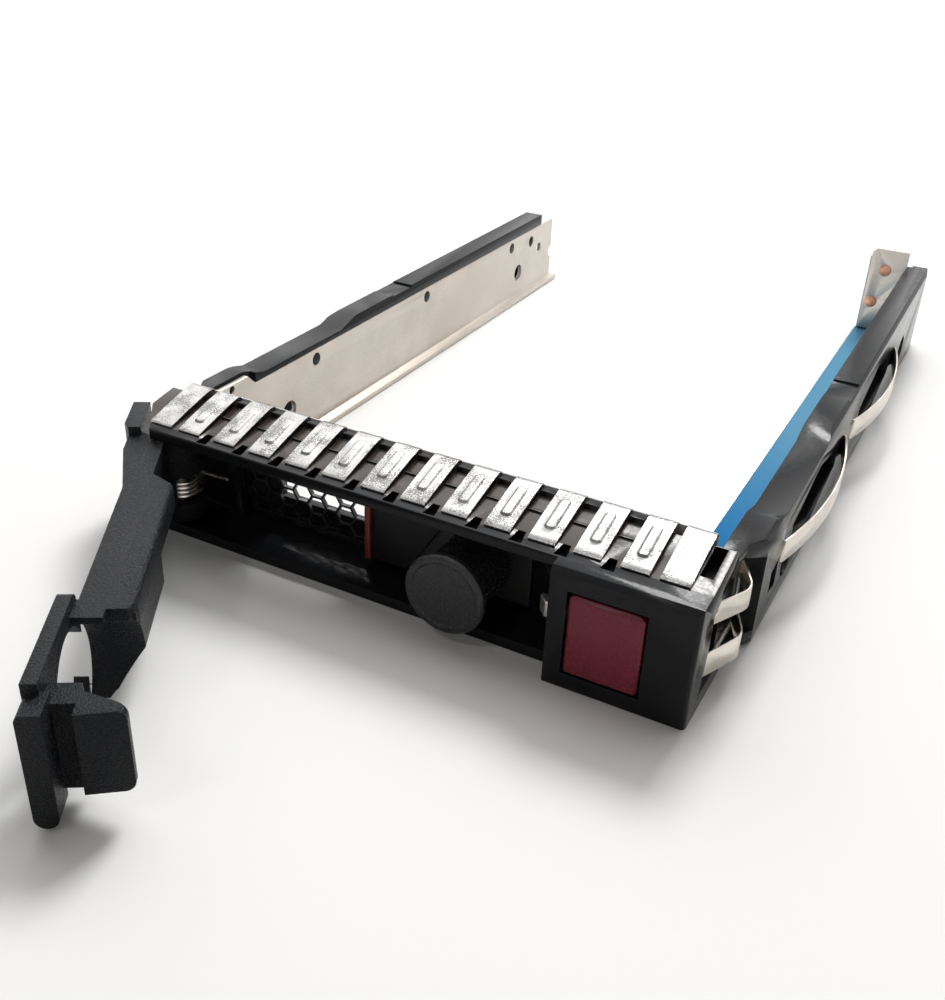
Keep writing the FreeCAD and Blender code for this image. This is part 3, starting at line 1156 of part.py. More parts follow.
# ---------------------------------------------------------------- rails
for side, word, rail_end in ((-1, "left", "left_rail_end"), (1, "right", "right_rail_end")):
    rail = new_body(f"{word}_rail")
    front_out = "bezel_right" if side > 0 else "bezel_left"
    pad(rail, "side", "XY_Plane", "rail_floor", "rail_height", [mirrored_loop(side, [
        ("rail_in", "rail_front"),
        (front_out, "rail_front"),
        ("rail_out", "rail_front + rail_nose_length"),
        ("rail_out", f"{rail_end} - rail_tail"),
        ("rail_out - rail_edge", rail_end),
        ("rail_in", rail_end),
    ])])
    lip_start = "ear_start + ear_length + plate_gap * 4" if side < 0 else "rail_front"
    lip_end = rail_end if side < 0 else "right_plate_end - plate_thick - plate_gap * 4"
    start, end = sided(side, "bay", "rail_in")
    pad(rail, "lip", "YZ_Plane", start, end,
        [box_loop(lip_start, lip_end, "plate_height + plate_gap", "rail_height")])
    start, end = sided(side, "rail_in" if side < 0 else "bay", front_out)
    pad(rail, "tongue", "YZ_Plane", start, end, [box_loop(
        "comb_back + comb_behind", "rail_front", "arm_high + plate_gap * 2", "rail_height")])
    start, end = sided(side, "plate_out - plate_thick - margin", "rail_out + margin")
    pocket(rail, "dip", "YZ_Plane", start, end, [[
        ("dip_start", "rail_height"),
        ("dip_start + dip_ramp", "rail_height - dip_depth"),
        ("dip_start + dip_length - dip_ramp", "rail_height - dip_depth"),
        ("dip_start + dip_length", "rail_height"),
        ("dip_start + dip_length", "rail_height + margin"),
        ("dip_start", "rail_height + margin"),
    ]])
    pocket(rail, "step", "YZ_Plane", start, end, [box_loop(
        "step_place", "step_place + step_length", "rail_height - step_depth", "rail_height + margin")])
    top_edge = mirrored_loop(side, [
        ("rail_out - rail_edge", "rail_height"),
        ("rail_out", "rail_height - rail_edge"),
        ("rail_out + margin", "rail_height - rail_edge"),
        ("rail_out + margin", "rail_height + margin"),
        ("rail_out - rail_edge", "rail_height + margin"),
    ])
    pocket(rail, "outer_edge", "XZ_Plane", "rail_front - margin", f"{rail_end} + margin", [top_edge])
    start, end = sided(side, "bay", "rail_in")
    pad(rail, "stakes", "YZ_Plane", start, end, [(y, z, "stake_radius") for y, z in STAKES])
    start, end = sided(side, "rail_out - leaf_pocket_depth", "rail_out + margin")
    for number, place in enumerate(("leaf_front_start", "leaf_rear_start"), start=1):
        pocket(rail, f"leaf_pocket_{number}", "YZ_Plane", start, end, [[
            (f"{place} + leaf_rise * 2", "leaf_low"),
            (f"{place} + leaf_span / 2", "leaf_low - leaf_pocket_reach"),
            (f"{place} + leaf_span - leaf_rise * 2", "leaf_low"),
            (f"{place} + leaf_span - leaf_rise * 2", "leaf_high"),
            (f"{place} + leaf_span / 2", "leaf_high + leaf_pocket_reach"),
            (f"{place} + leaf_rise * 2", "leaf_high"),
        ]])
        slot_start, slot_end = sided(side, "rail_out - leaf_tab - leaf_slot_play", "rail_out + margin")
        pocket(rail, f"leaf_slots_{number}", "YZ_Plane", slot_start, slot_end, [
            box_loop(f"{edge} - leaf_slot_play", f"{edge} + leaf_thick + leaf_slot_play",
                     "leaf_low - leaf_slot_play", "leaf_high + leaf_slot_play")
            for edge in (place, f"{place} + leaf_span - leaf_thick")])
    start, end = sided(side, "rail_out - wedge_slot_depth", "rail_out + margin")
    pocket(rail, "wedge_slot", "YZ_Plane", start, end, [[
        ("wedge_slot_start", "wedge_slot_low + wedge_slot_taper"),
        ("wedge_slot_start + wedge_slot_length", "wedge_slot_low"),
        ("wedge_slot_start + wedge_slot_length", "wedge_slot_high"),
        ("wedge_slot_start", "wedge_slot_high - wedge_slot_taper"),
    ]])
    start, end = sided(side, "plate_out - margin", "rail_out + margin")
    pocket(rail, "screw_access", "YZ_Plane", start, end, [
        ("drive_hole_rear", "drive_hole_height", "screw_access_radius"),
        ("drive_hole_rear - drive_hole_pitch", "drive_hole_height", "screw_access_radius"),
    ])
    if side > 0:
        pocket(rail, "clip_seat_cut", "YZ_Plane", "clip_seat", "rail_out + margin", [[
            ("bezel_depth", "clip_low - clip_play"),
            ("clip_end + clip_play", "clip_low - clip_play"),
            ("clip_end + clip_play", "clip_rear_top"),
            ("bezel_depth", "clip_roof"),
        ]])
    else:
        pocket(rail, "lock_access", "YZ_Plane", "-rail_out - margin", "-rail_in + margin", [
            ("lock_hole_rear", "lock_hole_low", "lock_hole_radius + leaf_slot_play * 2")])

# ---------------------------------------------------------------- leaf springs, the left ones mirrored
for word, place in (("front", "leaf_front_start"), ("rear", "leaf_rear_start")):
    leaf = new_body(f"right_{word}_leaf_spring")
    bow_strip(leaf, "strip", "leaf_low", "leaf_high", "rail_out", place,
              "leaf_span", "leaf_rise", "leaf_thick", "leaf_tab")
    twin = doc.addObject("Part::Mirroring", f"left_{word}_leaf_spring")
    twin.Label = f"left_{word}_leaf_spring"
    twin.Source = leaf
    twin.Normal = (1, 0, 0)
    parts.append(twin)

# ---------------------------------------------------------------- flex ribbon
ribbon = new_body("flex_ribbon")
RUN = "(bezel_depth + ribbon_play)"
pad(ribbon, "tongue", "XY_Plane", "ribbon_low", "ribbon_high", [box_loop(
    "ribbon_inner_end", "ribbon_inner_end + ribbon_thick", "recess_depth", f"{RUN} + ribbon_thick")])
pad(ribbon, "front_run", "XZ_Plane", RUN, f"{RUN} + ribbon_thick", [[
    ("ribbon_inner_end", "ribbon_low"),
    ("ribbon_left", "ribbon_low"),
    ("ribbon_left", "plate_thick"),
    ("ribbon_right", "plate_thick"),
    ("ribbon_right", "ribbon_high"),
    ("ribbon_inner_end", "ribbon_high"),
]])
pad(ribbon, "floor_run", "XY_Plane", "plate_thick", "plate_thick + ribbon_thick", [box_loop(
    "ribbon_left", "ribbon_right", RUN, "right_plate_end + ribbon_thick")])
pad(ribbon, "rear_run", "XZ_Plane", "right_plate_end", "right_plate_end + ribbon_thick", [box_loop(
    "ribbon_left + ribbon_thick", "ribbon_right", "plate_thick", "ribbon_top")])
pocket(ribbon, "rivet_holes", "XZ_Plane", "right_plate_end - margin", "right_plate_end + margin", [
    ("rivet_one_place", "rivet_one_height", "rivet_radius + fit"),
    ("rivet_two_place", "rivet_two_height", "rivet_radius + fit"),
])

# ---------------------------------------------------------------- rivets through the tab and the ribbon
TAB_FRONT = "(right_plate_end - plate_thick)"
rings = []
for number, word in ((1, "one"), (2, "two")):
    for end, start, reach, radius in (
        ("shank", TAB_FRONT, "plate_thick + ribbon_thick", "rivet_radius"),
        ("head", f"{TAB_FRONT} - rivet_head", "rivet_head", "rivet_head_radius"),
        ("tail", "right_plate_end + ribbon_thick", "rivet_head", "rivet_head_radius"),
    ):
        ring = doc.addObject("Part::Cylinder", f"rivet_{end}_{number}")
        ring.setExpression("Radius", bound(radius))
        ring.setExpression("Height", bound(reach))
        ring.Placement.Rotation = FreeCAD.Rotation(FreeCAD.Vector(1, 0, 0), -90)
        ring.setExpression("Placement.Base.x", bound(f"rivet_{word}_place"))
        ring.setExpression("Placement.Base.y", bound(f"{start} - origin_setback"))
        ring.setExpression("Placement.Base.z", bound(f"rivet_{word}_height"))
        rings.append(ring)
rivets = doc.addObject("Part::MultiFuse", "contact_rivets")
rivets.Label = "contact_rivets"
rivets.Shapes = rings
parts.append(rivets)

# ---------------------------------------------------------------- check and write
doc.recompute()
for item in doc.Objects:
    if "Invalid" in item.State or "Error" in item.State:
        raise RuntimeError(f"{item.Name} failed: {item.State}")
os.makedirs("parts", exist_ok=True)
for part in parts:
    shape = part.Shape
    if shape.isNull() or not shape.isValid():
        raise RuntimeError(f"{part.Label} has no valid shape")
    box = shape.BoundBox
    print(f"{part.Label:26s} {len(shape.Solids)} solid  {shape.Volume:9.1f} mm3  "
          f"x {box.XMin:.1f}..{box.XMax:.1f}  y {box.YMin:.1f}..{box.YMax:.1f}  "
          f"z {box.ZMin:.1f}..{box.ZMax:.1f}")
    shape.exportStep(f"parts/{part.Label}.step")
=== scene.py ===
import bpy, json, math
from mathutils import Matrix, Vector

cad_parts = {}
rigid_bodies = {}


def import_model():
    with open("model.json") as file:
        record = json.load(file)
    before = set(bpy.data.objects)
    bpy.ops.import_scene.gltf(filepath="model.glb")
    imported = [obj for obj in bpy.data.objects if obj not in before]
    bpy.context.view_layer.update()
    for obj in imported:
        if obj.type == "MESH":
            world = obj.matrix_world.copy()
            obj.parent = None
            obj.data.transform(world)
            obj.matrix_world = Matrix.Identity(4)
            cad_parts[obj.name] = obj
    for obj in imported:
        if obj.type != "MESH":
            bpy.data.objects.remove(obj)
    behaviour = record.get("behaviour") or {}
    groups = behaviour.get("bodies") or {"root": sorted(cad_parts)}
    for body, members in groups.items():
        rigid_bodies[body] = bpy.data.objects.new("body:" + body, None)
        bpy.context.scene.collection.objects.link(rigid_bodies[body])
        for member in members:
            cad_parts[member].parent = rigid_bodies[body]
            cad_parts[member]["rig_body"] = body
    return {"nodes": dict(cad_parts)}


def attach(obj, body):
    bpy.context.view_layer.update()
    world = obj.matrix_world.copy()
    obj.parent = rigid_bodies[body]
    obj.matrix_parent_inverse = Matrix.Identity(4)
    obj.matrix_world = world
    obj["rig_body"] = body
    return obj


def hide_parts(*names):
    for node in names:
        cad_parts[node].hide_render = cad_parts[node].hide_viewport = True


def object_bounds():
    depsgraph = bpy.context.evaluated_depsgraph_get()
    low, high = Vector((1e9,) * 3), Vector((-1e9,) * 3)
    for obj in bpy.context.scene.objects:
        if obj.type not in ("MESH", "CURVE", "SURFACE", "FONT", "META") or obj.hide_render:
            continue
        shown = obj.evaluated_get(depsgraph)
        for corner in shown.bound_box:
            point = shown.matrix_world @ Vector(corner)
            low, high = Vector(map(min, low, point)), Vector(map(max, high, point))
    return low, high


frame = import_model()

cadBox = [list(corner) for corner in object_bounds()]
nodes = frame["nodes"]
scene = bpy.context.scene
scene.view_settings.view_transform = "Standard"
print("frame loaded:", len(nodes), "nodes")

number = "NodeSocketFloat"
vector = "NodeSocketVector"
near = 0.000001  # metres, for picking out a vertex or an edge by its place


def addNode(tree, kind, x, y, **values):
    node = tree.nodes.new(kind)
    node.location = (x, y)
    for name, value in values.items():
        setattr(node, name, value)
    return node


def setInputs(node, **values):
    for name, value in values.items():
        node.inputs[name.replace("_", " ")].default_value = value
    return node


def newGroup(name, inputs, outputs):
    group = bpy.data.node_groups.new(name, "ShaderNodeTree")
    for label, kind, value in inputs:
        socket = group.interface.new_socket(name=label, in_out="INPUT", socket_type=kind)
        socket.default_value = value
    for label in outputs:
        group.interface.new_socket(name=label, in_out="OUTPUT", socket_type=number)
    start = addNode(group, "NodeGroupInput", -900, 0)
    end = addNode(group, "NodeGroupOutput", 700, 0)
    return group, start, end


# the fine pitted skin that a spark-eroded mould leaves on a plastic face
def makeSparkSkin():
    group, start, end = newGroup("sparkSkin", [("Grain Size", number, 1800.0)], ["Height", "Pits"])
    where = addNode(group, "ShaderNodeTexCoord", -900, 200)
    cells = addNode(group, "ShaderNodeTexVoronoi", -600, 200, feature="SMOOTH_F1")
    setInputs(cells, Smoothness=0.4)
    cloud = addNode(group, "ShaderNodeTexNoise", -600, -150)
    setInputs(cloud, Detail=3.0, Roughness=0.6)
    mixed = addNode(group, "ShaderNodeMath", -200, 100, operation="MULTIPLY_ADD")
    cellShare = 0.9
    mixed.inputs[1].default_value = cellShare
    pits = addNode(group, "ShaderNodeMapRange", 100, -100)
    setInputs(pits, From_Min=0.6, From_Max=1.1)
    link = group.links.new
    link(where.outputs["Object"], cells.inputs["Vector"])
    link(where.outputs["Object"], cloud.inputs["Vector"])
    link(start.outputs["Grain Size"], cells.inputs["Scale"])
    link(start.outputs["Grain Size"], cloud.inputs["Scale"])
    link(cells.outputs["Distance"], mixed.inputs[0])
    link(cloud.outputs["Fac"], mixed.inputs[2])
    link(mixed.outputs[0], pits.inputs["Value"])
    link(mixed.outputs[0], end.inputs["Height"])
    link(pits.outputs["Result"], end.inputs["Pits"])
    return group


# slow clouds and fine specks, for handling marks and dust
def makeHandling():
    group, start, end = newGroup(
        "handling", [("Cloud Size", number, 90.0), ("Speck Size", number, 900.0)], ["Clouds", "Specks"])
    where = addNode(group, "ShaderNodeTexCoord", -900, 200)
    clouds = addNode(group, "ShaderNodeTexNoise", -600, 200)
    setInputs(clouds, Detail=4.0, Roughness=0.55)
    specks = addNode(group, "ShaderNodeTexNoise", -600, -150)
    setInputs(specks, Detail=2.0, Roughness=0.7)
    soft = addNode(group, "ShaderNodeMapRange", -200, 200)
    setInputs(soft, From_Min=0.38, From_Max=0.66)
    sharp = addNode(group, "ShaderNodeMapRange", -200, -150)
    setInputs(sharp, From_Min=0.60, From_Max=0.72)
    link = group.links.new
    for texture, size in ((clouds, "Cloud Size"), (specks, "Speck Size")):
        link(where.outputs["Object"], texture.inputs["Vector"])
        link(start.outputs[size], texture.inputs["Scale"])
    link(clouds.outputs["Fac"], soft.inputs["Value"])
    link(specks.outputs["Fac"], sharp.inputs["Value"])
    link(soft.outputs["Result"], end.inputs["Clouds"])
    link(sharp.outputs["Result"], end.inputs["Specks"])
    return group


# rolled streaks of sheet metal along one axis, and slow blotches across them
def makeStreaks():
    group, start, end = newGroup(
        "streaks",
        [("Stretch", vector, (1.0, 1.0, 1.0)), ("Line Size", number, 400.0), ("Blotch Size", number, 160.0)],
        ["Streaks", "Blotches"])
    where = addNode(group, "ShaderNodeTexCoord", -900, 200)
    stretched = addNode(group, "ShaderNodeVectorMath", -700, 200, operation="MULTIPLY")
    lines = addNode(group, "ShaderNodeTexNoise", -450, 200)
    setInputs(lines, Detail=5.0, Roughness=0.65)
    blotches = addNode(group, "ShaderNodeTexNoise", -450, -150)
    setInputs(blotches, Detail=3.0, Roughness=0.6, Distortion=0.8)
    sharper = addNode(group, "ShaderNodeMapRange", -100, 200)
    setInputs(sharper, From_Min=0.3, From_Max=0.7)
    patchy = addNode(group, "ShaderNodeMapRange", -100, -150)
    setInputs(patchy, From_Min=0.42, From_Max=0.62)
    link = group.links.new
    link(where.outputs["Object"], stretched.inputs[0])
    link(start.outputs["Stretch"], stretched.inputs[1])
    link(stretched.outputs[0], lines.inputs["Vector"])
    link(start.outputs["Line Size"], lines.inputs["Scale"])
    link(where.outputs["Object"], blotches.inputs["Vector"])
    link(start.outputs["Blotch Size"], blotches.inputs["Scale"])
    link(lines.outputs["Fac"], sharper.inputs["Value"])
    link(blotches.outputs["Fac"], patchy.inputs["Value"])
    link(sharper.outputs["Result"], end.inputs["Streaks"])
    link(patchy.outputs["Result"], end.inputs["Blotches"])
    return group


# small dark dimples that lie thicker in some patches than in others
def makeDimples():
    group, start, end = newGroup(
        "dimples", [("Grain Size", number, 5200.0), ("Patch Size", number, 420.0), ("Amount", number, 0.6)],
        ["Dimples"])
    where = addNode(group, "ShaderNodeTexCoord", -900, 200)
    grains = addNode(group, "ShaderNodeTexNoise", -600, 200)
    setInputs(grains, Detail=2.0, Roughness=0.7)
    patches = addNode(group, "ShaderNodeTexNoise", -600, -150)
    setInputs(patches, Detail=2.0, Roughness=0.5)
    spread = addNode(group, "ShaderNodeMapRange", -350, -150)
    setInputs(spread, From_Min=0.38, From_Max=0.62, To_Min=-0.16, To_Max=0.10)
    sumUp = addNode(group, "ShaderNodeMath", -150, 100, operation="ADD")
    cut = addNode(group, "ShaderNodeMapRange", 50, 100)
    setInputs(cut, From_Min=0.46, From_Max=0.60)
    share = addNode(group, "ShaderNodeMath", 300, 100, operation="MULTIPLY")
    link = group.links.new
    link(where.outputs["Object"], grains.inputs["Vector"])
    link(where.outputs["Object"], patches.inputs["Vector"])
    link(start.outputs["Grain Size"], grains.inputs["Scale"])
    link(start.outputs["Patch Size"], patches.inputs["Scale"])
    link(patches.outputs["Fac"], spread.inputs["Value"])
    link(grains.outputs["Fac"], sumUp.inputs[0])
    link(spread.outputs["Result"], sumUp.inputs[1])
    link(sumUp.outputs[0], cut.inputs["Value"])
    link(cut.outputs["Result"], share.inputs[0])
    link(start.outputs["Amount"], share.inputs[1])
    link(share.outputs[0], end.inputs["Dimples"])
    return group


sparkSkin = makeSparkSkin()
handling = makeHandling()
streaks = makeStreaks()
dimples = makeDimples()


def newMaterial(name):
    material = bpy.data.materials.new(name)
    material.use_nodes = True
    tree = material.node_tree
    shader = tree.nodes["Principled BSDF"]
    shader.location = (400, 0)
    tree.nodes["Material Output"].location = (750, 0)
    return material, tree, shader


def placeGroup(tree, group, x, y, **values):
    node = addNode(tree, "ShaderNodeGroup", x, y, node_tree=group)
    return setInputs(node, **values)


# a mix node's number, vector and colour sockets share their names, so its colour ones are found by place
firstColour, secondColour, mixedColour = 6, 7, 2


def mixColours(tree, x, y, factor, first, second):
    mix = addNode(tree, "ShaderNodeMix", x, y, data_type="RGBA")
    tree.links.new(factor, mix.inputs["Factor"])
    for socket, value in ((mix.inputs[firstColour], first), (mix.inputs[secondColour], second)):
        if hasattr(value, "is_linked"):
            tree.links.new(value, socket)
        else:
            socket.default_value = (*value, 1.0)
    return mix.outputs[mixedColour]


def rangeOf(tree, x, y, value, low, high):
    node = addNode(tree, "ShaderNodeMapRange", x, y)
    setInputs(node, To_Min=low, To_Max=high)
    tree.links.new(value, node.inputs["Value"])
    return node.outputs["Result"]


# gives a shader a normal with softened edges and a fine relief on it
def addRelief(tree, shader, height, strength, distance, edge):
    rounded = addNode(tree, "ShaderNodeBevel", -100, -500, samples=4)
    setInputs(rounded, Radius=edge)
    bump = addNode(tree, "ShaderNodeBump", 150, -400)
    setInputs(bump, Strength=strength, Distance=distance)
    tree.links.new(height, bump.inputs["Height"])
    tree.links.new(rounded.outputs["Normal"], bump.inputs["Normal"])
    tree.links.new(bump.outputs["Normal"], shader.inputs["Normal"])


def makePlastic(name, body, dust, rough, grain, depth, edge, gloss):
    material, tree, shader = newMaterial(name)
    marks = placeGroup(tree, handling, -700, 200)
    skin = placeGroup(tree, sparkSkin, -700, -200, Grain_Size=grain)
    clouded = mixColours(tree, -350, 250, marks.outputs["Clouds"], body, dust)
    tree.links.new(clouded, shader.inputs["Base Color"])
    tree.links.new(rangeOf(tree, -350, 0, skin.outputs["Pits"], *rough), shader.inputs["Roughness"])
    setInputs(shader, Specular_IOR_Level=gloss)
    addRelief(tree, shader, skin.outputs["Height"], strength=1.0, distance=depth, edge=edge)
    return material


plasticLooks = {
    "black_plastic": dict(body=(0.0115, 0.0124, 0.0146), dust=(0.0165, 0.0170, 0.0186), rough=(0.08, 0.19),
                          grain=2200.0, depth=0.000003, edge=0.0001, gloss=0.11),
    "textured_plastic": dict(body=(0.0150, 0.0166, 0.0192), dust=(0.0200, 0.0210, 0.0235), rough=(0.18, 0.32),
                             grain=4200.0, depth=0.00009, edge=0.0002, gloss=0.08),
    # brown floors of the comb's gaps: a painted reflection on the black plastic
    "gap_plastic": dict(body=(0.0460, 0.0350, 0.0300), dust=(0.0680, 0.0540, 0.0470), rough=(0.12, 0.26),
                        grain=2600.0, depth=0.000006, edge=0.0001, gloss=0.3),
    "grey_plastic": dict(body=(0.016, 0.016, 0.018), dust=(0.024, 0.023, 0.025), rough=(0.30, 0.42),
                         grain=2600.0, depth=0.000015, edge=0.0002, gloss=0.2),
    "maroon_plastic": dict(body=(0.190, 0.0200, 0.038), dust=(0.210, 0.0230, 0.043), rough=(0.18, 0.28),
                           grain=2600.0, depth=0.000004, edge=0.00005, gloss=0.20),
    "amber_plastic": dict(body=(0.24, 0.030, 0.014), dust=(0.32, 0.050, 0.024), rough=(0.30, 0.40),
                          grain=2600.0, depth=0.00001, edge=0.0002, gloss=0.5),
    "lens_plastic": dict(body=(0.019, 0.019, 0.020), dust=(0.026, 0.025, 0.027), rough=(0.20, 0.30),
                         grain=2600.0, depth=0.000006, edge=0.0003, gloss=0.3),
    "circuit_board": dict(body=(0.010, 0.013, 0.011), dust=(0.018, 0.020, 0.018), rough=(0.35, 0.5),
                          grain=2600.0, depth=0.00002, edge=0.0001, gloss=0.4),
}
materials = {name: makePlastic(name, **look) for name, look in plasticLooks.items()}


def makeMetal(name, bright, dull, speck, rough, stretch, lineSize, blotch, grain, patch, amount, depth, edge):
    material, tree, shader = newMaterial(name)
    rolled = placeGroup(tree, streaks, -900, 150, Line_Size=lineSize, Blotch_Size=blotch)
    rolled.inputs["Stretch"].default_value = stretch
    pitted = placeGroup(tree, dimples, -900, -200, Grain_Size=grain, Patch_Size=patch, Amount=amount)
    patched = mixColours(tree, -600, 300, rolled.outputs["Blotches"], bright, dull)
    specked = mixColours(tree, -350, 250, pitted.outputs["Dimples"], patched, speck)
    tree.links.new(specked, shader.inputs["Base Color"])
    tree.links.new(rangeOf(tree, -350, 0, rolled.outputs["Streaks"], *rough), shader.inputs["Roughness"])
    setInputs(shader, Metallic=1.0)
    lowered = addNode(tree, "ShaderNodeMath", -350, -300, operation="SUBTRACT")
    tree.links.new(rolled.outputs["Streaks"], lowered.inputs[0])
    tree.links.new(pitted.outputs["Dimples"], lowered.inputs[1])
    addRelief(tree, shader, lowered.outputs[0], strength=0.8, distance=depth, edge=edge)
    return material


metalLooks = {
    "contact_steel": dict(bright=(0.41, 0.407, 0.400), dull=(0.32, 0.317, 0.310), speck=(0.13, 0.128, 0.124),
                          rough=(0.13, 0.23), stretch=(1.0, 0.5, 1.0), lineSize=900.0, blotch=420.0,
                          grain=5600.0, patch=380.0, amount=0.85, depth=0.000012, edge=0.0001),
    # the bead's slopes: a darker copy of the comb's steel, which is painted shade
    "bead_steel": dict(bright=(0.20, 0.195, 0.19), dull=(0.11, 0.105, 0.10), speck=(0.08, 0.077, 0.073),
                       rough=(0.34, 0.50), stretch=(1.0, 0.5, 1.0), lineSize=900.0, blotch=500.0,
                       grain=5600.0, patch=500.0, amount=0.8, depth=0.000012, edge=0.0001),
    "bright_steel": dict(bright=(0.60, 0.555, 0.505), dull=(0.545, 0.50, 0.45), speck=(0.42, 0.385, 0.35),
                         rough=(0.34, 0.46), stretch=(1.0, 0.05, 1.0), lineSize=420.0, blotch=45.0,
                         grain=2600.0, patch=120.0, amount=0.25, depth=0.000004, edge=0.0002),
    "spring_steel": dict(bright=(0.76, 0.71, 0.645), dull=(0.68, 0.63, 0.57), speck=(0.40, 0.37, 0.33),
                         rough=(0.26, 0.38), stretch=(1.0, 0.1, 1.0), lineSize=500.0, blotch=120.0,
                         grain=3200.0, patch=200.0, amount=0.25, depth=0.000006, edge=0.0001),
    "dark_steel": dict(bright=(0.10, 0.10, 0.105), dull=(0.06, 0.06, 0.065), speck=(0.03, 0.03, 0.03),
                       rough=(0.25, 0.4), stretch=(1.0, 1.0, 1.0), lineSize=600.0, blotch=200.0,
                       grain=3200.0, patch=200.0, amount=0.4, depth=0.000006, edge=0.00005),
    "copper": dict(bright=(0.72, 0.38, 0.24), dull=(0.52, 0.26, 0.16), speck=(0.25, 0.12, 0.08),
                   rough=(0.3, 0.5), stretch=(1.0, 1.0, 1.0), lineSize=600.0, blotch=300.0,
                   grain=3200.0, patch=300.0, amount=0.5, depth=0.000006, edge=0.0001),
}
materials.update({name: makeMetal(name, **look) for name, look in metalLooks.items()})

filmLook = {"front": (0.000, 0.130, 0.360), "back": (0.108, 0.277, 0.420), "fadeStart": 0.020, "fadeEnd": 0.070,
            "rough": (0.30, 0.44), "gloss": 0.0, "cloud": 60.0, "depth": 0.0001, "edge": 0.0001}


# the ribbon's blue film, paler towards the rear
def makeFilm():
    material, tree, shader = newMaterial("blue_film")
    where = addNode(tree, "ShaderNodeTexCoord", -900, 300)
    along = addNode(tree, "ShaderNodeSeparateXYZ", -720, 300)
    fade = addNode(tree, "ShaderNodeMapRange", -520, 300)
    setInputs(fade, From_Min=filmLook["fadeStart"], From_Max=filmLook["fadeEnd"])
    marks = placeGroup(tree, handling, -700, -100, Cloud_Size=filmLook["cloud"])
    tree.links.new(where.outputs["Object"], along.inputs[0])
    tree.links.new(along.outputs["Y"], fade.inputs["Value"])
    faded = mixColours(tree, -300, 300, fade.outputs["Result"], filmLook["front"], filmLook["back"])
    tree.links.new(faded, shader.inputs["Base Color"])
    tree.links.new(rangeOf(tree, -300, 0, marks.outputs["Clouds"], *filmLook["rough"]), shader.inputs["Roughness"])
    setInputs(shader, Specular_IOR_Level=filmLook["gloss"])
    addRelief(tree, shader, marks.outputs["Clouds"], strength=0.2, distance=filmLook["depth"], edge=filmLook["edge"])
    return material


materials["blue_film"] = makeFilm()
print("materials made:", len(materials))

# each node's slot, which is also its material unless otherLook names another
slotOf = {
    "bezel_housing": "black_plastic", "honeycomb_screen": "dark_steel", "led_board": "circuit_board",
    "led_cover": "grey_plastic", "led_light_guide": "amber_plastic", "status_lens": "lens_plastic",
    "release_button": "maroon_plastic", "latch": "bright_steel", "button_spring": "spring_steel",
    "ejector_lever": "textured_plastic", "lever_pivot_pin": "bright_steel",
    "lever_torsion_spring": "spring_steel", "emi_finger_strip": "contact_steel",
    "emi_side_clip": "contact_steel", "left_side_plate": "bright_steel",
    "right_side_plate": "bright_steel", "left_rail": "black_plastic", "right_rail": "black_plastic",
    "left_front_leaf_spring": "spring_steel", "left_rear_leaf_spring": "spring_steel",
    "right_front_leaf_spring": "spring_steel", "right_rear_leaf_spring": "spring_steel",
    "flex_ribbon": "blue_film", "contact_rivets": "copper",
}
for name, finish in slotOf.items():
    mesh = nodes[name].data
    mesh.materials.clear()
    mesh.materials.append(materials[finish])
print("nodes dressed:", len(slotOf))

selectModes = {"vertices": (True, False, False), "edges": (False, True, False), "polygons": (False, False, True)}


def activate(piece):
    bpy.ops.object.select_all(action="DESELECT")
    piece.select_set(True)
    bpy.context.view_layer.objects.active = piece


def middleOf(mesh, kind, item):
    if kind == "vertices":
        return item.co
    if kind == "polygons":
        return item.center
    return (mesh.vertices[item.vertices[0]].co + mesh.vertices[item.vertices[1]].co) / 2


# goes to edit mode with only those vertices, edges or polygons selected whose middle passes the test
def pick(piece, kind, wanted):
    bpy.ops.object.mode_set(mode="OBJECT")
    mesh = piece.data
    for item in (*mesh.vertices, *mesh.edges, *mesh.polygons):
        item.select = False
    bpy.context.tool_settings.mesh_select_mode = selectModes[kind]
    for item in getattr(mesh, kind):
        item.select = wanted(middleOf(mesh, kind, item))
    bpy.ops.object.mode_set(mode="EDIT")


def extrudeBy(step):
    bpy.ops.mesh.extrude_region_move(TRANSFORM_OT_translate={"value": step})


def useModifier(piece, kind, **values):
    bpy.ops.object.mode_set(mode="OBJECT")
    modifier = piece.modifiers.new(kind.lower(), kind)
    for name, value in values.items():
        setattr(modifier, name, value)
    bpy.ops.object.modifier_apply(modifier=modifier.name)


def joinAll(pieces, name):
    activate(pieces[0])
    for piece in pieces[1:]:
        piece.select_set(True)
    bpy.ops.object.join()
    bpy.context.object.name = name
    return bpy.context.object


# gives a finished piece its material and body, and puts it in its node's place
def standFor(piece, node):
    if not piece.data.materials:
        piece.data.materials.append(materials[slotOf[node]])
    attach(piece, nodes[node]["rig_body"])
    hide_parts(node)


# edge rounding of the moulded and cut pieces, and how many steps it has
softEdges = {
    "bezel_housing": (0.00016, 2), "left_rail": (0.00022, 3), "right_rail": (0.00022, 3),
    "ejector_lever": (0.00045, 4), "release_button": (0.00008, 2), "status_lens": (0.00010, 2),
    "latch": (0.00012, 2), "led_cover": (0.00006, 2), "led_light_guide": (0.00010, 2),
    "lever_pivot_pin": (0.00015, 2), "left_side_plate": (0.00010, 2), "right_side_plate": (0.00010, 2),
    "emi_side_clip": (0.00004, 1), "contact_rivets": (0.00008, 2),
    "left_front_leaf_spring": (0.00004, 1), "left_rear_leaf_spring": (0.00004, 1),
    "right_front_leaf_spring": (0.00004, 1), "right_rear_leaf_spring": (0.00004, 1),
}


# broader rounding of edges that catch the light: the box round their middles, the width and the steps
broadEdges = {
    "bezel_housing": [((0.0212, -0.0061, 0.0142), (0.0400, -0.0054, 0.0200), 0.00020, 3),
                      ((-0.0400, -0.0043, 0.0147), (0.0208, -0.0041, 0.0200), 0.00018, 3)],
    "release_button": [((0.0, -0.0100, 0.0), (0.0400, -0.0058, 0.0200), 0.00014, 3)],
}

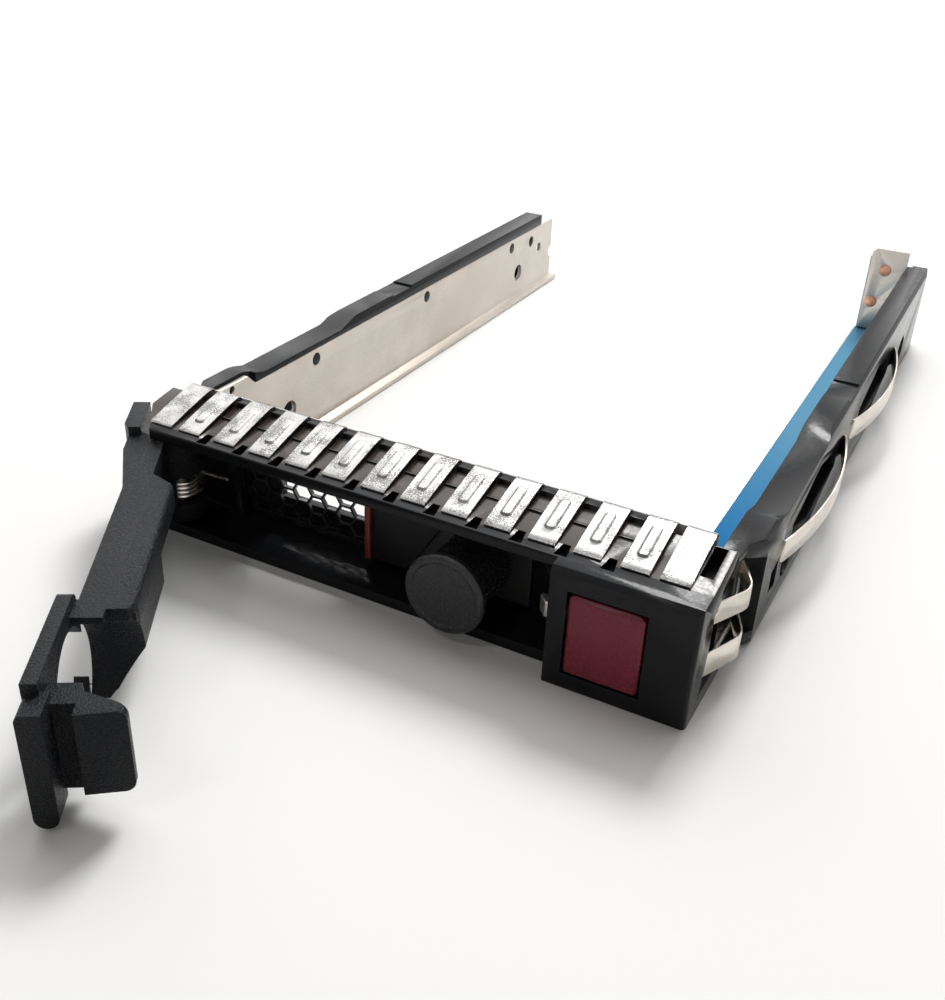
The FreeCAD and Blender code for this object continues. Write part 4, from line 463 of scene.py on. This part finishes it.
# the side clip's bars are paler than the comb, though both are in the same slot
otherLook = {"emi_side_clip": "spring_steel"}


def inside(at, low, high):
    return all(start < value < end for start, value, end in zip(low, at, high))


def plainName(node):
    first, *others = node.split("_")
    return first + "".join(word.capitalize() for word in others)


gapLook = {"low": (-0.0351, -0.0027, 0.0140), "high": (0.0351, 0.0056, 0.0168), "upright": 0.6}


# the floors of the gaps between the comb's fingers are glossier, and browner by a painted reflection of the steel
# fingers beside them
def paintGapReflection(piece):
    piece.data.materials.append(materials["gap_plastic"])
    for face in piece.data.polygons:
        if face.normal.z > gapLook["upright"] and inside(face.center, gapLook["low"], gapLook["high"]):
            face.material_index = 1


roundLook = {"mergeWithin": 0.000003, "flatAngle": math.radians(0.6), "sharpAngle": math.radians(32)}


# a copy of a node's solid with rounded edges, which stands for the node
def roundEdges(node, width, steps):
    piece = nodes[node].copy()
    piece.data = nodes[node].data.copy()
    piece.name = plainName(node)
    scene.collection.objects.link(piece)
    piece.parent = None
    for key in [key for key in piece.keys() if key.startswith("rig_")]:
        del piece[key]
    activate(piece)
    bpy.ops.object.mode_set(mode="EDIT")
    bpy.ops.mesh.select_all(action="SELECT")
    bpy.ops.mesh.remove_doubles(threshold=roundLook["mergeWithin"])
    bpy.ops.mesh.dissolve_limited(angle_limit=roundLook["flatAngle"])
    for low, high, broad, turns in broadEdges.get(node, []):
        pick(piece, "edges", lambda at: inside(at, low, high))
        bpy.ops.mesh.bevel(offset=broad, segments=turns, affect="EDGES", clamp_overlap=True)
    bpy.ops.object.mode_set(mode="OBJECT")
    bpy.ops.object.shade_smooth()
    useModifier(piece, "BEVEL", width=width, segments=steps, limit_method="ANGLE",
                angle_limit=roundLook["sharpAngle"], harden_normals=True, use_clamp_overlap=True)
    if node in otherLook:
        piece.data.materials[0] = materials[otherLook[node]]
    if node == "bezel_housing":
        paintGapReflection(piece)
    standFor(piece, node)
    return len(piece.data.polygons)


for node, (width, steps) in softEdges.items():
    count = roundEdges(node, width, steps)
    print("edges rounded:", node, count, "faces")

combLook = {
    "left": -0.03047, "pitch": 0.0052524, "count": 12, "fingerWidth": 0.003164, "endWidth": 0.00325,
    "half": 0.03485, "columns": 7, "sheet": 0.0002, "edge": 0.00004,
    # the finger's line from its front lip to its turn behind the bezel, y and z
    "line": [(-0.00290, 0.01506), (-0.00290, 0.01523), (-0.00282, 0.01532), (-0.00200, 0.01556),
             (-0.00112, 0.01582), (-0.00085, 0.01590), (-0.00045, 0.01602), (-0.00005, 0.01612),
             (0.00060, 0.01630), (0.00160, 0.01655), (0.00250, 0.01680), (0.00333, 0.01699),
             (0.00360, 0.01705), (0.00410, 0.01716), (0.00465, 0.01729), (0.00505, 0.01728),
             (0.00545, 0.01716), (0.00570, 0.01696), (0.00575, 0.01670)],
    "beadFrom": -0.00112, "beadTo": 0.00360, "beadHalf": 0.00070, "beadInner": 0.0004, "beadEnd": 0.55,
    "beadSlope": (0.00013, 0.00012), "beadRise": (0.00016, 0.00007), "steepLeft": 0.25, "steepFront": 0.5,
    "bandLow": 0.0132, "bandHigh": 0.01695, "bandFront": 0.00555,
    "edgeAngle": math.radians(50), "smoothAngle": math.radians(40),
}


# a strip of sheet drawn out along the finger's line, with a raised bead or plain
def makeFinger(left, width, bead):
    look = combLook
    line = look["line"]
    start = line[0]
    rise = line[1][1] - start[1]
    middle = (left + width / 2, start[0], start[1] + rise / 2)
    bpy.ops.mesh.primitive_grid_add(x_subdivisions=look["columns"], y_subdivisions=1, size=1.0,
                                    location=middle, rotation=(math.pi / 2, 0.0, 0.0))
    finger = bpy.context.object
    finger.scale = (width, rise, 1.0)
    bpy.ops.object.transform_apply(location=True, rotation=True, scale=True)
    top = start[1] + rise
    pick(finger, "edges", lambda at: abs(at.z - top) < near)
    for (y0, z0), (y1, z1) in zip(line[1:], line[2:]):
        extrudeBy((0.0, y1 - y0, z1 - z0))
    centre = left + width / 2
    if bead:
        for end in (look["beadFrom"], look["beadTo"]):  # the bead's ends are narrower
            pick(finger, "vertices", lambda at: look["beadInner"] < abs(at.x - centre) < look["beadHalf"]
                 and abs(at.y - end) < near)
            bpy.ops.transform.resize(value=(look["beadEnd"], 1.0, 1.0), center_override=(centre, end, 0.0))
        pick(finger, "polygons", lambda at: abs(at.x - centre) < look["beadHalf"]
             and look["beadFrom"] < at.y < look["beadTo"])
        for slope, lift in zip(look["beadSlope"], look["beadRise"]):
            bpy.ops.mesh.inset(thickness=slope, depth=lift)
    bpy.ops.mesh.select_all(action="SELECT")
    bpy.ops.mesh.normals_make_consistent(inside=False)
    bpy.ops.object.mode_set(mode="OBJECT")
    finger.data.materials.append(materials["contact_steel"])
    finger.data.materials.append(materials["bead_steel"])
    for face in finger.data.polygons:  # painted shade: the bead's steep left side and front end get the darker steel
        inBead = abs(face.center.x - centre) < look["beadHalf"] and look["beadFrom"] < face.center.y < look["beadTo"]
        steep = face.normal.x < -look["steepLeft"] or face.normal.y < -look["steepFront"]
        face.material_index = 1 if bead and inBead and steep else 0
    useModifier(finger, "SOLIDIFY", thickness=look["sheet"], offset=-1.0)
    useModifier(finger, "BEVEL", width=look["edge"], segments=1, limit_method="ANGLE", angle_limit=look["edgeAngle"])
    return finger


# twelve fingers with beads and a plain one at each end, on the band behind the bezel
def makeComb():
    look = combLook
    first = makeFinger(look["left"], look["fingerWidth"], True)
    strips = [first]
    for place in range(1, look["count"]):
        activate(first)
        bpy.ops.object.duplicate()
        strips.append(bpy.context.object)
        bpy.ops.transform.translate(value=(place * look["pitch"], 0.0, 0.0))
        bpy.ops.object.transform_apply(location=True, rotation=False, scale=False)
    strips.append(makeFinger(-look["half"], look["endWidth"], False))
    strips.append(makeFinger(look["half"] - look["endWidth"], look["endWidth"], False))
    back = look["line"][-1][0]
    bpy.ops.mesh.primitive_cube_add(
        size=1.0, location=(0.0, (look["bandFront"] + back) / 2, (look["bandLow"] + look["bandHigh"]) / 2))
    band = bpy.context.object
    band.scale = (look["half"] * 2, back - look["bandFront"], look["bandHigh"] - look["bandLow"])
    bpy.ops.object.transform_apply(location=True, rotation=True, scale=True)
    useModifier(band, "BEVEL", width=look["edge"], segments=2)
    strips.append(band)
    comb = joinAll(strips, "contactComb")
    bpy.ops.object.shade_smooth_by_angle(angle=look["smoothAngle"])
    standFor(comb, "emi_finger_strip")
    print("comb made:", len(comb.data.polygons), "faces")


makeComb()

springLook = {
    "pivot": (-0.0332, -0.0005), "radius": 0.0021, "wire": 0.00026, "sides": 14, "low": 0.00460, "high": 0.00740,
    "turns": 3.75, "stepsPerTurn": 32, "longLeg": 0.00610, "shortLeg": 0.00150,
    "endReach": 1.05,  # of the wire's radius, for picking the wire's end rings
    "smoothAngle": math.radians(50),
}


# round wire wound clockwise upwards, with a long leg to the rib and a short one in the lever
def makeTorsionSpring():
    look = springLook
    bpy.ops.mesh.primitive_circle_add(vertices=look["sides"], radius=look["wire"],
                                      location=(look["radius"], 0.0, 0.0), rotation=(math.pi / 2, 0.0, 0.0))
    spring = bpy.context.object
    bpy.ops.object.transform_apply(location=True, rotation=True, scale=True)
    climb = look["high"] - look["low"] - look["wire"] * 2
    steps = int(look["turns"] * look["stepsPerTurn"])
    useModifier(spring, "SCREW", angle=-look["turns"] * math.tau, screw_offset=climb, iterations=1,
                steps=steps, render_steps=steps, use_merge_vertices=False)
    reach = look["wire"] * look["endReach"]
    ends = ((lambda at: abs(at.y) < near and at.x > 0.0 and at.z < reach, (0.0, look["shortLeg"], 0.0)),
            (lambda at: abs(at.x) < near and at.y > 0.0 and at.z > climb - reach, (look["longLeg"], 0.0, 0.0)))
    for wanted, step in ends:
        pick(spring, "vertices", wanted)
        extrudeBy(step)
        bpy.ops.mesh.edge_face_add()
    bpy.ops.mesh.select_all(action="SELECT")
    bpy.ops.mesh.normals_make_consistent(inside=False)
    bpy.ops.object.mode_set(mode="OBJECT")
    bpy.ops.transform.translate(value=(*look["pivot"], look["low"] + look["wire"]))
    bpy.ops.object.transform_apply(location=True, rotation=True, scale=True)
    spring.name = "torsionSpring"
    bpy.ops.object.shade_smooth_by_angle(angle=look["smoothAngle"])
    standFor(spring, "lever_torsion_spring")
    print("torsion spring made:", len(spring.data.polygons), "faces")


makeTorsionSpring()

floorLook = {"colour": (0.94, 0.935, 0.92), "rough": 0.9, "gloss": 0.1, "size": 6.0, "drop": 0.0001,
             "glow": 0.035, "fadeFrom": 0.22, "fadeTo": 0.60}


# adds up which rays see the white background rather than the light itself
def seenDirectly(tree):
    path = addNode(tree, "ShaderNodeLightPath", -900, 500)
    first = addNode(tree, "ShaderNodeMath", -650, 500, operation="ADD", use_clamp=True)
    both = addNode(tree, "ShaderNodeMath", -450, 500, operation="ADD", use_clamp=True)
    tree.links.new(path.outputs["Is Camera Ray"], first.inputs[0])
    tree.links.new(path.outputs["Is Glossy Ray"], first.inputs[1])
    tree.links.new(first.outputs[0], both.inputs[0])
    tree.links.new(path.outputs["Is Transmission Ray"], both.inputs[1])
    return both.outputs[0]


# a pale floor that turns into the white background away from the part
def makeFloor():
    bpy.ops.mesh.primitive_plane_add(size=floorLook["size"], location=(0.0, 0.0, cadBox[0][2] - floorLook["drop"]))
    floor = bpy.context.object
    floor.name = "floor"
    material, tree, shader = newMaterial("paleFloor")
    setInputs(shader, Base_Color=(*floorLook["colour"], 1.0), Roughness=floorLook["rough"],
              Specular_IOR_Level=floorLook["gloss"])
    share = addNode(tree, "ShaderNodeMath", 250, 400, operation="MULTIPLY")
    where = addNode(tree, "ShaderNodeTexCoord", -900, 200)
    away = addNode(tree, "ShaderNodeVectorMath", -700, 200, operation="LENGTH")
    far = addNode(tree, "ShaderNodeMapRange", -450, 250, interpolation_type="SMOOTHSTEP")
    setInputs(far, From_Min=floorLook["fadeFrom"], From_Max=floorLook["fadeTo"], To_Min=floorLook["glow"])
    tree.links.new(where.outputs["Object"], away.inputs[0])
    tree.links.new(away.outputs["Value"], far.inputs["Value"])
    tree.links.new(far.outputs["Result"], share.inputs[1])
    glow = addNode(tree, "ShaderNodeEmission", 400, 250)
    both = addNode(tree, "ShaderNodeMixShader", 600, 100)
    link = tree.links.new
    link(seenDirectly(tree), share.inputs[0])
    link(share.outputs[0], both.inputs[0])
    link(shader.outputs[0], both.inputs[1])
    link(glow.outputs[0], both.inputs[2])
    link(both.outputs[0], tree.nodes["Material Output"].inputs["Surface"])
    floor.data.materials.append(material)


worldLook = {"light": (0.90, 0.87, 0.82), "strength": 0.11}


def makeWorld():
    world = bpy.data.worlds.new("studio")
    scene.world = world
    world.use_nodes = True
    tree = world.node_tree
    light = tree.nodes["Background"]
    setInputs(light, Color=(*worldLook["light"], 1.0), Strength=worldLook["strength"])
    white = addNode(tree, "ShaderNodeBackground", 0, -200)
    setInputs(white, Color=(1.0, 1.0, 1.0, 1.0), Strength=1.0)
    both = addNode(tree, "ShaderNodeMixShader", 250, 0)
    link = tree.links.new
    link(seenDirectly(tree), both.inputs[0])
    link(light.outputs[0], both.inputs[1])
    link(white.outputs[0], both.inputs[2])
    link(both.outputs[0], tree.nodes["World Output"].inputs["Surface"])


lampLooks = [
    {"name": "overhead", "place": (0.05, 0.50, 0.82), "aim": (0.0, 0.04, 0.0), "size": 1.1, "power": 3.4},
    {"name": "key", "place": (-0.04, 0.60, 0.70), "aim": (0.0, 0.04, 0.0), "size": 0.3, "power": 5.6},
    {"name": "window", "place": (-0.60, 0.50, 0.75), "aim": (0.0, 0.04, 0.0), "size": 1.2, "power": 4.6},
    {"name": "front", "place": (-0.22, -0.56, 0.81), "aim": (0.0, 0.0, 0.0), "size": 0.07, "power": 0.4},
]


def makeLamps():
    for look in lampLooks:
        data = bpy.data.lights.new(look["name"], "AREA")
        data.shape = "DISK"
        data.size = look["size"]
        data.energy = look["power"]
        lamp = bpy.data.objects.new(look["name"], data)
        scene.collection.objects.link(lamp)
        lamp.location = look["place"]
        away = Vector(look["place"]) - Vector(look["aim"])
        lamp.rotation_euler = away.to_track_quat("Z", "Y").to_euler()


# the photo's own viewpoint
cameraLook = {
    "place": (0.05730243, -0.09658368, 0.07783591), "lens": 40.74, "sensor": 36.0, "clipStart": 0.005,
    "right": (0.88156397, 0.47030482, 0.04072285),
    "down": (0.26542838, -0.42249292, -0.86662997),
    "ahead": (-0.39037514, 0.77479875, -0.49728678),
}


def makeCamera():
    data = bpy.data.cameras.new("camera")
    data.lens = cameraLook["lens"]
    data.sensor_width = cameraLook["sensor"]
    data.clip_start = cameraLook["clipStart"]
    camera = bpy.data.objects.new("camera", data)
    scene.collection.objects.link(camera)
    turned = Matrix((cameraLook["right"], -Vector(cameraLook["down"]), -Vector(cameraLook["ahead"]))).transposed()
    camera.matrix_world = Matrix.Translation(cameraLook["place"]) @ turned.to_4x4()
    scene.camera = camera


makeFloor()
makeWorld()
makeLamps()
makeCamera()
print("studio set")
